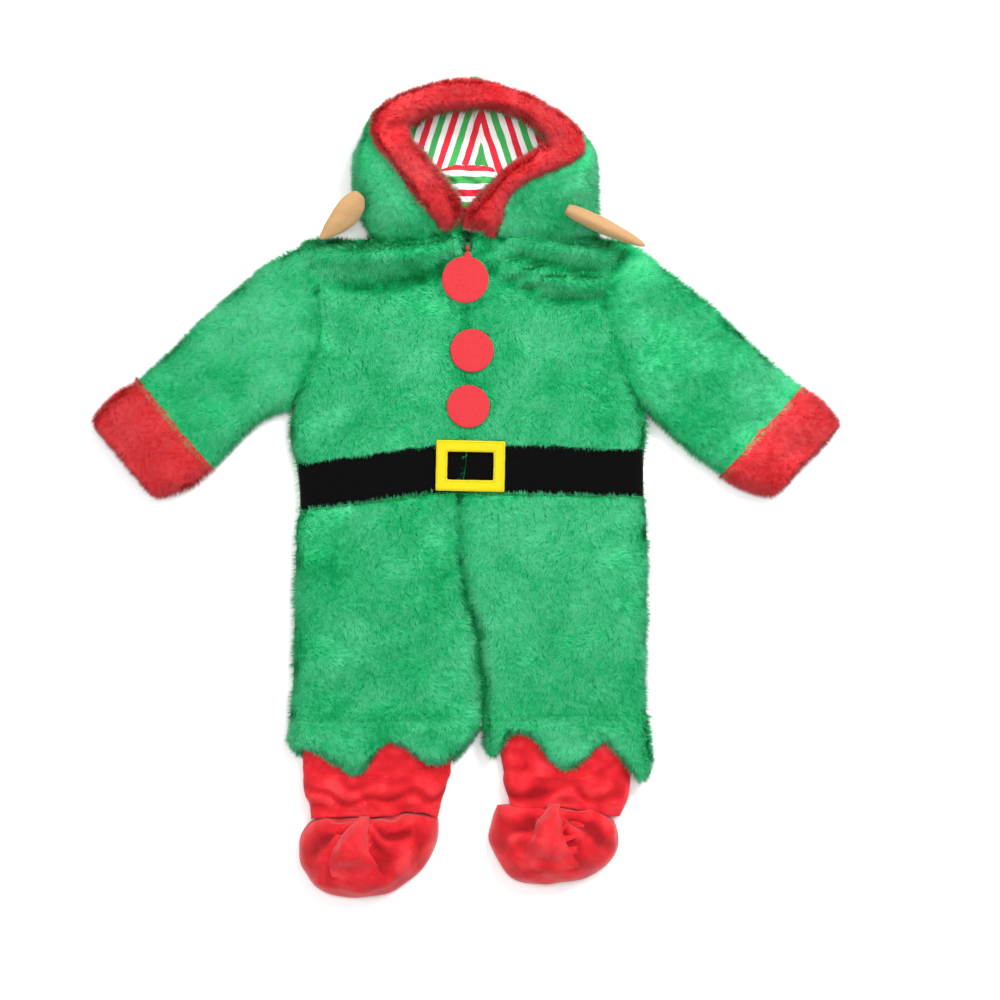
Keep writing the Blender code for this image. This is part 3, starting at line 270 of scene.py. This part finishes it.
def in_plan(points, nodes):
    """Which points lie within the outline of any of these CAD nodes, seen from above."""
    found = np.zeros(len(points), bool)
    for node in nodes:
        corners, _, triangles = read(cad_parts[node].data)
        for a, b, c in corners[triangles][:, :, :2]:
            sides = [
                (q[0] - p[0]) * (points[:, 1] - p[1]) - (q[1] - p[1]) * (points[:, 0] - p[0])
                for p, q in ((a, b), (b, c), (c, a))
            ]
            found |= (np.minimum.reduce(sides) > 0) | (np.maximum.reduce(sides) < 0)
    return found


def finer(node, levels, crease=0.5):
    """A finer copy of a CAD solid: its triangles merged and joined to quads, then smoothed by subdivision.

    Faces that have another face within 5 mm in front of them are marked covered, and their edges stay square,
    so that seams close up.
    """
    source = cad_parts[node]
    mesh = source.data.copy()
    mesh.transform(source.matrix_world)
    mesh.materials.clear()
    made = bmesh.new()
    made.from_mesh(mesh)
    bmesh.ops.remove_doubles(made, verts=made.verts, dist=1e-5)
    limit = math.radians(40)
    bmesh.ops.join_triangles(made, faces=made.faces, angle_face_threshold=limit, angle_shape_threshold=limit)
    sharp = made.edges.layers.float.new("crease_edge")
    covered = made.faces.layers.float.new("covered")
    for face in made.faces:
        start = face.calc_center_median() + face.normal * 0.0001
        _, against, _, _ = CLOTH_TREE.ray_cast(start, face.normal, 0.005)
        face[covered] = float(against is not None and against.dot(face.normal) < 0)
    for edge in made.edges:
        if len(edge.link_faces) == 2 and edge.calc_face_angle() > math.radians(50):
            edge[sharp] = 1.0 if any(face[covered] for face in edge.link_faces) else crease
    made.to_mesh(mesh)
    made.free()
    rough = bpy.data.objects.new("rough", mesh)
    bpy.context.scene.collection.objects.link(rough)
    smooth = rough.modifiers.new("smooth", "SUBSURF")
    smooth.levels = smooth.render_levels = levels
    fine = bpy.data.meshes.new_from_object(rough.evaluated_get(bpy.context.evaluated_depsgraph_get()))
    bpy.data.objects.remove(rough)
    return fine


# What stands on the plush leaves the pile round it free, so it doesn't count as cover
SEWN_ON = ("belt_right", "belt_left", "buckle", "button_middle", "button_lower", "pull_disc")
CAD_TREE = cad_tree()
CLOTH_TREE = cad_tree((*SEWN_ON, "zip_pull", "zip_slider", "ear_right", "ear_left"))
# How far covered faces move out to close a seam, in millimetres
SEAM_CLOSING = 1.0
# The relief's grid step, and the height above which it counts no more
RELIEF_STEP = 0.0025
RELIEF_CAP = 0.027


def blurred(field, reach):
    """A field blurred by a bell of this reach in cells.

    Along each axis in turn it is the sum of exp(-(k / reach)^2) * the field k cells away.
    """
    for axis in (0, 1):
        total = 0
        for k in range(-2 * reach, 2 * reach + 1):
            total = total + np.roll(field, k, axis) * math.exp(-((k / reach) ** 2))
        field = total
    return field


def cloth_relief():
    """The top of the object on a grid, less its own broad average: above 0 on rolls, below 0 in creases.

    It fades to 0 at the object's outline, where the cloth only falls to its edge, and heights count up to the
    cap, so that the hood neither sinks the shoulders beside it nor puts painted shade on their pile.
    """
    low, high = (np.array(corner[:2]) for corner in cad_box)
    count = np.ceil((high - low) / RELIEF_STEP).astype(int) + 30
    corner = low - 15 * RELIEF_STEP
    down = (0, 0, -1)
    top = np.zeros(count)
    for i, j in np.ndindex(*count):
        hit = CAD_TREE.ray_cast((corner[0] + i * RELIEF_STEP, corner[1] + j * RELIEF_STEP, 0.2), down)[0]
        top[i, j] = min(hit.z, RELIEF_CAP) if hit else 0.0
    there = (top > 0.003).astype(float)
    share = blurred(there, 6)
    broad = blurred(top * there, 6) / np.maximum(share, 1e-9)
    inner = np.clip((share / share.max() - 0.72) / 0.2, 0, 1)
    return corner, inner * blurred((top - broad) * there, 1) / np.maximum(blurred(there, 1), 1e-9)


RELIEF_CORNER, RELIEF = cloth_relief()


def relief_at(points):
    """The relief under each point, read between the grid's four nearest cells."""
    place = (points[:, :2] - RELIEF_CORNER) / RELIEF_STEP
    cell = np.clip(place.astype(int), 0, np.array(RELIEF.shape) - 2)
    u, v = np.clip(place - cell, 0, 1).T
    i, j = cell.T
    low = RELIEF[i, j] * (1 - u) + RELIEF[i + 1, j] * u
    high = RELIEF[i, j + 1] * (1 - u) + RELIEF[i + 1, j + 1] * u
    return low * (1 - v) + high * v


def face_values(mesh):
    """The covered mark of each face."""
    values = np.empty(len(mesh.polygons), dtype=np.float32)
    mesh.attributes["covered"].data.foreach_get("value", values)
    return values


def covered_share(mesh):
    """For each point, the greatest covered mark of the faces round it."""
    corner = np.empty(len(mesh.loops), dtype=np.int64)
    size = np.empty(len(mesh.polygons), dtype=np.int64)
    mesh.loops.foreach_get("vertex_index", corner)
    mesh.polygons.foreach_get("loop_total", size)
    share = np.zeros(len(mesh.vertices))
    np.maximum.at(share, corner, np.repeat(face_values(mesh), size))
    return share


def show(mesh, name, material, body="garment"):
    made = bpy.data.objects.new(name, mesh)
    mesh.materials.clear()
    mesh.materials.append(material)
    mesh.shade_smooth()
    bpy.context.scene.collection.objects.link(made)
    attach(made, body)
    return made


def move(mesh, offset):
    """Moves each point of a mesh by its own row of offset, and none below the floor."""
    points, _, _ = read(mesh)
    moved = points + offset
    moved[:, 2] = np.maximum(moved[:, 2], 0)
    mesh.vertices.foreach_set("co", moved.ravel())
    mesh.update()


def cloth(node, material, levels=2, inset=0.0, bumps=(), crease=0.5, body="garment", deepen=0.0,
          closes=False):
    """Replaces a CAD node by its finer copy.

    Each point moves in by inset, or out into the seam where it is covered and closes is set.
    It also moves out by height * waves(wavelength) for each of bumps.
    What looks up rises by deepen times the relief as well, which deepens the creases.
    """
    mesh = finer(node, levels, crease)
    points, normals, _ = read(mesh)
    at_seam = covered_share(mesh)
    out = -inset * MM * (1 - at_seam) + SEAM_CLOSING * MM * at_seam * closes
    for seed, (height, wavelength) in enumerate(bumps):
        out += height * MM * waves(points, wavelength * MM, seed + 7)
    offset = normals * out[:, None]
    offset[:, 2] += deepen * relief_at(points) * np.clip(2 * normals[:, 2] - 0.6, 0, 1)
    move(mesh, offset)
    made = show(mesh, node + "_cloth", material, body)
    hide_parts(node)
    return made


# A lock of pile: its size, how far waves bend the locks' grid, and how far tips are drawn to its middle
LOCK_SIZE = 0.0042
LOCK_BEND = 0.0022
LOCK_DRAW = 0.36
# The angle in radians of the blades that the loose disc presses down
PRESSED_ANGLE = 0.2
# How far below its surroundings the cloth lies where the painted crease shade on its pile is darkest
CREASE_SHADE_DEPTH = 0.0045


def pile(base, name, material, count, nap=(0.15, -1.0, 0.0), beneath=(), length=5.6, width=0.62,
         lift=34.0, under=0.12):
    """Blades of pile over a base piece, each one a thin triangle from its root to its tip.

    A blade starts at a random place p on the base and leans along the nap, which swings with
    waves() and by lock.
    Its tip stands at p + L * cos(lift) * way + L * sin(lift) * n, drawn towards the middle of its 4 mm lock.
    Lift grows by up to 30 degrees where the cloth is steep, so that the outline is fuzzy.
    Faces that look down get the share under of the blades, and covered faces get none.
    Nor does the cloth beneath the named pieces, but for the last, the loose disc, where blades lie flat.
    No other tip lies over those from the third on.
    """
    points, normals, triangles = read(base.data)
    a, b, c = (points[triangles[:, i]] for i in range(3))
    cross = np.cross(b - a, c - a)
    area = np.linalg.norm(cross, axis=1)
    up = cross[:, 2] / np.maximum(area, 1e-12)
    hidden = face_values(base.data)
    polygon = np.empty(len(triangles), dtype=np.int64)
    base.data.loop_triangles.foreach_get("polygon_index", polygon)
    weight = area * np.where(up > -0.25, 1.0, under) * (hidden[polygon] < 0.5)
    pick = rng.choice(len(triangles), count, p=weight / weight.sum())
    r1, r2 = np.sqrt(rng.random((count, 1))), rng.random((count, 1))
    share = np.hstack([1 - r1, r1 * (1 - r2), r1 * r2])
    root = (points[triangles[pick]] * share[..., None]).sum(axis=1)
    normal = (normals[triangles[pick]] * share[..., None]).sum(axis=1)
    normal /= np.linalg.norm(normal, axis=1, keepdims=True)
    bare = in_plan(root, beneath[:-1])
    root, normal = root[~bare], normal[~bare]
    pressed = in_plan(root, beneath[-1:])
    count = len(root)
    # Locks: the nearest cell of a grid that is itself bent by waves, so that no rows show
    bend = np.stack([waves(root, 0.011, 40 + k) for k in range(3)], axis=1) * LOCK_BEND
    grid = np.floor((root + bend) / LOCK_SIZE).astype(np.int64)
    key = np.abs(grid[:, 0] * 73856093 ^ grid[:, 1] * 19349663 ^ grid[:, 2] * 83492791) % 4096
    lock = np.random.default_rng(5).random((4096, 5))[key]
    centre = (grid + 0.2 + 0.6 * lock[:, :3]) * LOCK_SIZE - bend
    swing = 0.75 * waves(root, 0.06, 1) + 0.45 * waves(root, 0.021, 2) + 0.7 * (lock[:, 3] - 0.5)
    swing += rng.normal(0, 0.4, count)
    way = np.broadcast_to(np.array(nap, float), root.shape)
    way = way - normal * (way * normal).sum(axis=1, keepdims=True)
    way /= np.maximum(np.linalg.norm(way, axis=1, keepdims=True), 1e-6)
    side = np.cross(normal, way)
    way = way * np.cos(swing)[:, None] + side * np.sin(swing)[:, None]
    side = np.cross(normal, way)
    reach = (length * MM * (0.7 + 0.5 * rng.random(count)) * (0.9 + 0.2 * lock[:, 4]))[:, None]
    steep = np.radians(30) * np.clip(1 - normal[:, 2], 0, 1)
    angle = np.radians(lift) * (0.8 + 0.4 * lock[:, 3]) + steep + rng.normal(0, 0.18, count)
    angle = np.where(pressed, PRESSED_ANGLE, np.clip(angle, 0.15, 1.4))[:, None]
    gather = (centre - root) * LOCK_DRAW
    gather -= normal * (gather * normal).sum(axis=1, keepdims=True)
    tip = root + reach * (way * np.cos(angle) + normal * np.sin(angle)) + gather
    clear = ~in_plan(tip, beneath[2:]) | pressed
    root, tip, normal, way, side, lock = (row[clear] for row in (root, tip, normal, way, side, lock))
    count = len(root)
    half = width * MM / 2 * (0.7 + 0.6 * rng.random((count, 1))) * side
    soft = normal + 0.4 * way
    soft /= np.linalg.norm(soft, axis=1, keepdims=True)
    # Each blade shows its front to whoever sees the cloth, from above first
    facing = np.cross(-2 * half, tip - root)
    half = np.where((facing * (soft + (0, 0, 0.6))).sum(axis=1, keepdims=True) < 0, -half, half)
    corners = np.stack([root + half, root - half, tip], axis=1)
    corners[..., 2] = np.maximum(corners[..., 2], 0.0002)
    mesh = bpy.data.meshes.new(name)
    mesh.vertices.add(count * 3)
    mesh.loops.add(count * 3)
    mesh.polygons.add(count)
    mesh.vertices.foreach_set("co", corners.ravel())
    mesh.loops.foreach_set("vertex_index", np.arange(count * 3))
    mesh.polygons.foreach_set("loop_start", np.arange(count) * 3)
    mesh.update(calc_edges=True)
    mesh.validate()
    strand = np.ones((count, 3, 4))
    strand[..., 0] = (0.0, 0.0, 1.0)
    strand[..., 1] = (0.6 * lock[:, 3] + 0.4 * rng.random(count))[:, None]
    # Blue: painted shade, from 0 to 1 as the root lies deeper in a crease of the relief
    strand[..., 2] = np.clip(-relief_at(root) / CREASE_SHADE_DEPTH - 0.1, 0, 1)[:, None]
    layer = mesh.color_attributes.new("strand", "FLOAT_COLOR", "POINT")
    layer.data.foreach_set("color", strand.ravel())
    made = show(mesh, name, material)
    # A blade is shaded mostly as the cloth under it, which keeps the pile soft
    mesh.normals_split_custom_set_from_vertices(np.repeat(soft, 3, axis=0).tolist())
    return made


def fold_marks(mesh, depth):
    """Writes how deep in a crease each point lies, from 0 to 1, as painted crease shade for the velour."""
    marks = mesh.attributes.get("fold") or mesh.attributes.new("fold", "FLOAT", "POINT")
    marks.data.foreach_set("value", np.clip(depth, 0, 1).astype(np.float32))


PLEAT_DEPTH = 7.0
WRINKLE_DEPTH = 1.6
WRINKLE_PITCH = 0.017


def gathers(mesh, side):
    """Soft pleats of the bootie's upper, running out from the toe and fading at the rim.

    A point moves along its normal by depth * envelope * pleat, with
    pleat = 0.5 - |sin(4 * bearing)| + 0.15 * cos(11 * bearing + 1).
    The bearing is round the toe's tip and swings with waves().
    The envelope fades towards the tip, the far edge and the floor.
    """
    points, normals, _ = read(mesh)
    off = points[:, :2] - np.array(TOE_TIPS[side]) * MM
    bearing = np.arctan2(off[:, 1], off[:, 0]) + 0.16 * waves(points, 0.035, 31)
    away = np.hypot(off[:, 0], off[:, 1])
    envelope = np.clip((away - 0.006) / 0.016, 0, 1) * np.clip(1.25 - away / 0.055, 0.2, 1)
    envelope *= np.clip((points[:, 2] - 0.006) / 0.012, 0.2, 1) * (1 - covered_share(mesh))
    pleat = 0.5 - np.abs(np.sin(4 * bearing)) + 0.15 * np.cos(11 * bearing + 1)
    move(mesh, normals * (PLEAT_DEPTH * MM * envelope * pleat)[:, None])
    # Painted shade: the velour darkens in the pleats' valleys
    fold_marks(mesh, -3 * envelope * pleat)


def wrinkles(mesh, end_y):
    """Slack wrinkles across the bootie's shaft, bent by waves() and strongest near its lower end.

    A point rises by depth * share * sin(2 pi * (y - end + 9 mm * wave) / pitch),
    where share falls from 1 near the end to 0.3 at 42 mm from it.
    """
    points, normals, _ = read(mesh)
    up = points[:, 1] - end_y * MM
    share = np.clip(1 - up / 0.06, 0.3, 1) * np.clip(up / 0.006, 0, 1) * np.clip(2 * normals[:, 2], 0, 1)
    ripple = np.sin(2 * np.pi * (up + 0.009 * waves(points, 0.045, 77)) / WRINKLE_PITCH) * share
    offset = np.zeros_like(points)
    offset[:, 2] = WRINKLE_DEPTH * MM * ripple
    move(mesh, offset)
    # Painted shade: the velour darkens in the wrinkles' troughs
    fold_marks(mesh, -0.8 * ripple)


def drawn_in(mesh, place, reach, shift):
    """Moves the points near a place by shift, by a share that falls smoothly to 0 at reach along y."""
    points, _, _ = read(mesh)
    near = np.clip(1 - (points[:, 1] - place * MM) / (reach * MM), 0, 1)
    move(mesh, (near**2 * (3 - 2 * near))[:, None] * np.array(shift) * MM)


def strips(name, places, ways, size, material, body="garment"):
    """Many small bars as one piece: each 8 corners at place +- size along its way, across it and upwards."""
    places, ways = np.asarray(places, float), np.asarray(ways, float)
    ways /= np.linalg.norm(ways, axis=1, keepdims=True)
    across = np.cross((0, 0, 1), ways)
    ring = ((-1, -1), (1, -1), (1, 1), (-1, 1))
    corner = np.array([(x, y, z) for z in (-1, 1) for x, y in ring]) * size / 2
    offset = (
        ways[:, None] * corner[None, :, :1]
        + across[:, None] * corner[None, :, 1:2]
        + np.array([0, 0, 1.0]) * corner[None, :, 2:]
    )
    quads = np.array([(3, 2, 1, 0), (4, 5, 6, 7), (0, 1, 5, 4), (1, 2, 6, 5), (2, 3, 7, 6), (3, 0, 4, 7)])
    faces = (np.arange(len(places))[:, None, None] * 8 + quads).reshape(-1, 4)
    mesh = bpy.data.meshes.new(name)
    mesh.from_pydata(((places[:, None] + offset).reshape(-1, 3) * MM).tolist(), [], faces.tolist())
    return show(mesh, name, material, body)


TOE_TIPS = {"right": (-91, -284), "left": (72, -275)}
TOE_ROOT_Y = {"right": -330, "left": -322}
ANKLE_END_Y = {"right": -276, "left": -271}

# Each plush piece: its node, colour, number of blades and the way its nap lies
PLUSH = (
    ("front_right", "green", 140000, (0.1, -1, 0)),
    ("front_left", "green", 140000, (-0.1, -1, 0)),
    ("back_right", "green", 18000, (0, -1, 0)),
    ("back_left", "green", 18000, (0, -1, 0)),
    ("sleeve_right", "green", 66000, (-0.75, -0.65, 0)),
    ("sleeve_left", "green", 66000, (0.75, -0.65, 0)),
    ("hem_right", "green", 27000, (0, -1, 0)),
    ("hem_left", "green", 27000, (0, -1, 0)),
    ("hood_right", "green", 50000, (-0.4, -1, 0)),
    ("hood_left", "green", 50000, (0.4, -1, 0)),
    ("cuff_right", "red", 26000, (-0.75, -0.65, 0)),
    ("cuff_left", "red", 26000, (0.75, -0.65, 0)),
    ("hood_trim", "red", 52000, (0.3, -0.6, 0)),
)


for node, colour, count, nap in PLUSH:
    backing, fibre = (GREEN_BACK, GREEN_PILE) if colour == "green" else (RED_BACK, RED_PILE)
    bumps = ((0.9, 30), (0.6, 10)) if "hood" in node else ((0.4, 26), (0.25, 9))
    base = cloth(node, backing, 1 if "back" in node else 2, 1.6, bumps, deepen=0.6,
                 closes=True)
    under_it = SEWN_ON if "front" in node else ()
    fur = pile(base, node + "_pile", fibre, count, nap, under_it)

for side in ("right", "left"):
    shaft = cloth("ankle_" + side, VELOUR, 2, 0.2, ((0.9, 34), (0.5, 15)), 0.4)
    drawn_in(shaft.data, ANKLE_END_Y[side] - 4, 12, (0, -3.5, 1.5))
    wrinkles(shaft.data, ANKLE_END_Y[side])
    upper = cloth("foot_" + side, VELOUR, 2, 0.3, ((0.7, 24),), 1.0)
    gathers(upper.data, side)
    cloth("foot_inside_" + side, VELOUR, 1)
    cloth("sole_" + side, VELOUR, 1)
    curl = cloth("toe_" + side, VELOUR, 3, 0.2, ((0.8, 16),), 0.3)
    drawn_in(curl.data, TOE_ROOT_Y[side] + 1, 22, (0, 0, -4.5))
    lining = cloth("hood_lining_" + side, CHEVRONS, 1, 0, ((0.3, 30),), 1.0, closes=True)
    cloth("ear_" + side, FLEECE, 2, 0, ((0.2, 12),))
    cloth("belt_" + side, VELVET, 2, 0, ((0.25, 30),), 1.0)
    cloth("zip_tape_" + side, ZIP_TAPE, 1, 0, (), 1.0)
cloth("neck_lining", BANDS, 3, 0, ((1.3, 15), (0.7, 7)))
frame_felt = cloth("buckle", YELLOW_FELT, 2, 0, ((0.1, 8),), 0.9)
for name in ("button_middle", "button_lower"):
    cloth(name, RED_FELT, 2, 0, ((0.15, 9),), 0.7)
cloth("pull_disc", RED_FELT, 2, 0, ((0.15, 9),), 0.7, "pull")
cloth("zip_pull", RED_FELT, 1, 0, (), 0.8, "pull")
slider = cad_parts["zip_slider"]
slider.data.materials.clear()
slider.data.materials.append(ENAMEL)

# The buckle's two lines of stitches, and the zip's teeth where the neckline leaves them bare
BUCKLE = {"middle": (0.4, 19.7), "half": (29.5, 21.75), "border": 9.8, "turn": -1.2,
          "inset": 1.5, "pitch": 2.7}
around = []
for inset in (BUCKLE["inset"], BUCKLE["border"] - BUCKLE["inset"]):
    half_x, half_y = (half - inset for half in BUCKLE["half"])
    corners = np.array([(-half_x, -half_y), (half_x, -half_y), (half_x, half_y), (-half_x, half_y)])
    for start, end in zip(corners, np.roll(corners, -1, axis=0)):
        count = round(np.linalg.norm(end - start) / BUCKLE["pitch"])
        share = (np.arange(count) + 0.5)[:, None] / count
        around.append(np.hstack([start + share * (end - start), np.tile(end - start, (count, 1))]))
around = np.concatenate(around)
turn = math.radians(BUCKLE["turn"])
spin = np.array([[math.cos(turn), math.sin(turn)], [-math.sin(turn), math.cos(turn)]])
flat, ways = around[:, :2] @ spin + BUCKLE["middle"], around[:, 2:] @ spin
level = [CAD_TREE.ray_cast((x * MM, y * MM, 0.1), (0, 0, -1))[0].z / MM for x, y in flat]
places = np.column_stack([flat, np.array(level) + 0.05])
ways = np.column_stack([ways, np.zeros(len(ways))])
stitches = strips("buckle_stitches", places, ways, (1.7, 0.45, 0.4), THREAD)

tape, _, _ = read(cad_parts["zip_tape_right"].data)
inner = tape[tape[:, 0] > -0.012] / MM
inner = inner[np.argsort(inner[:, 1])]
TEETH_Y = np.concatenate([np.arange(193.5, 200.5, 1.5), np.arange(212, 221.5, 1.5)])
for side, sign, shift in (("right", -1, 0.0), ("left", 1, 0.75)):
    y = TEETH_Y + shift
    x = np.interp(y, inner[:, 1], inner[:, 0]) + 0.4 + sign * (0.45 + 0.5 * (y > 211))
    z = np.full(len(y), tape[:, 2].max() / MM + 0.45)
    strips("zip_teeth_" + side, np.column_stack([x, y, z]), [(1, 0, 0)] * len(y), (1.7, 0.8, 0.9), ZIP_TOOTH)


# Floor, light and camera


def area_light(name, place, aim, size, power, colour="#FFFFFF"):
    lamp = bpy.data.lights.new(name, "AREA")
    lamp.shape, lamp.size, lamp.energy = "DISK", size, power
    lamp.color = linear(colour)[:3]
    made = bpy.data.objects.new(name, lamp)
    bpy.context.scene.collection.objects.link(made)
    made.location = place
    way = np.array(aim, float) - np.array(place, float)
    flat = math.hypot(way[0], way[1])
    made.rotation_euler = (math.atan2(flat, -way[2]), 0, math.atan2(-way[0], way[1]) if flat > 1e-9 else 0)
    return made


floor_mesh = bpy.data.meshes.new("floor")
FLOOR_HALF, FLOOR_LEVEL = 4, -0.0003
corners = [(x * FLOOR_HALF, y * FLOOR_HALF, FLOOR_LEVEL) for x, y in ((-1, -1), (1, -1), (1, 1), (-1, 1))]
floor_mesh.from_pydata(corners, [], [(0, 1, 2, 3)])

paper, tree, shader = start_material("white_paper")
grain = add(tree, "TexNoise", {"Vector": object_point(tree)}, Scale=400.0, Detail=2.0)
white = add(tree, "ValToRGB", {"Fac": grain.outputs["Fac"]}, ((0.0, "#FBFBFB"), (1.0, "#FFFFFF")))
finish_shader(tree, shader, white.outputs["Color"], 0.9)
floor_mesh.materials.append(paper)
floor = bpy.data.objects.new("floor", floor_mesh)
bpy.context.scene.collection.objects.link(floor)

world = bpy.data.worlds.new("studio")
world.use_nodes = True
world.node_tree.nodes["Background"].inputs["Color"].default_value = linear("#FFFFFF")
world.node_tree.nodes["Background"].inputs["Strength"].default_value = 0.68
bpy.context.scene.world = world
area_light("key", (1.1, 1.4, 1.8), (0, 0, 0), 1.0, 46)
area_light("fill", (-1.3, 0.3, 1.8), (0, 0, 0), 1.2, 9)
area_light("top", (0.1, 0.4, 2.7), (0, 0, 0), 0.8, 22)

camera_data = bpy.data.cameras.new("camera")
camera_data.lens, camera_data.sensor_width = 100.0, 36.0
camera_data.dof.use_dof = False
camera = bpy.data.objects.new("camera", camera_data)
bpy.context.scene.collection.objects.link(camera)
camera.location = (0.0257, -0.0094, 0.012 + 0.857 * 100 / 36)
bpy.context.scene.camera = camera
bpy.context.scene.view_settings.view_transform = "Standard"
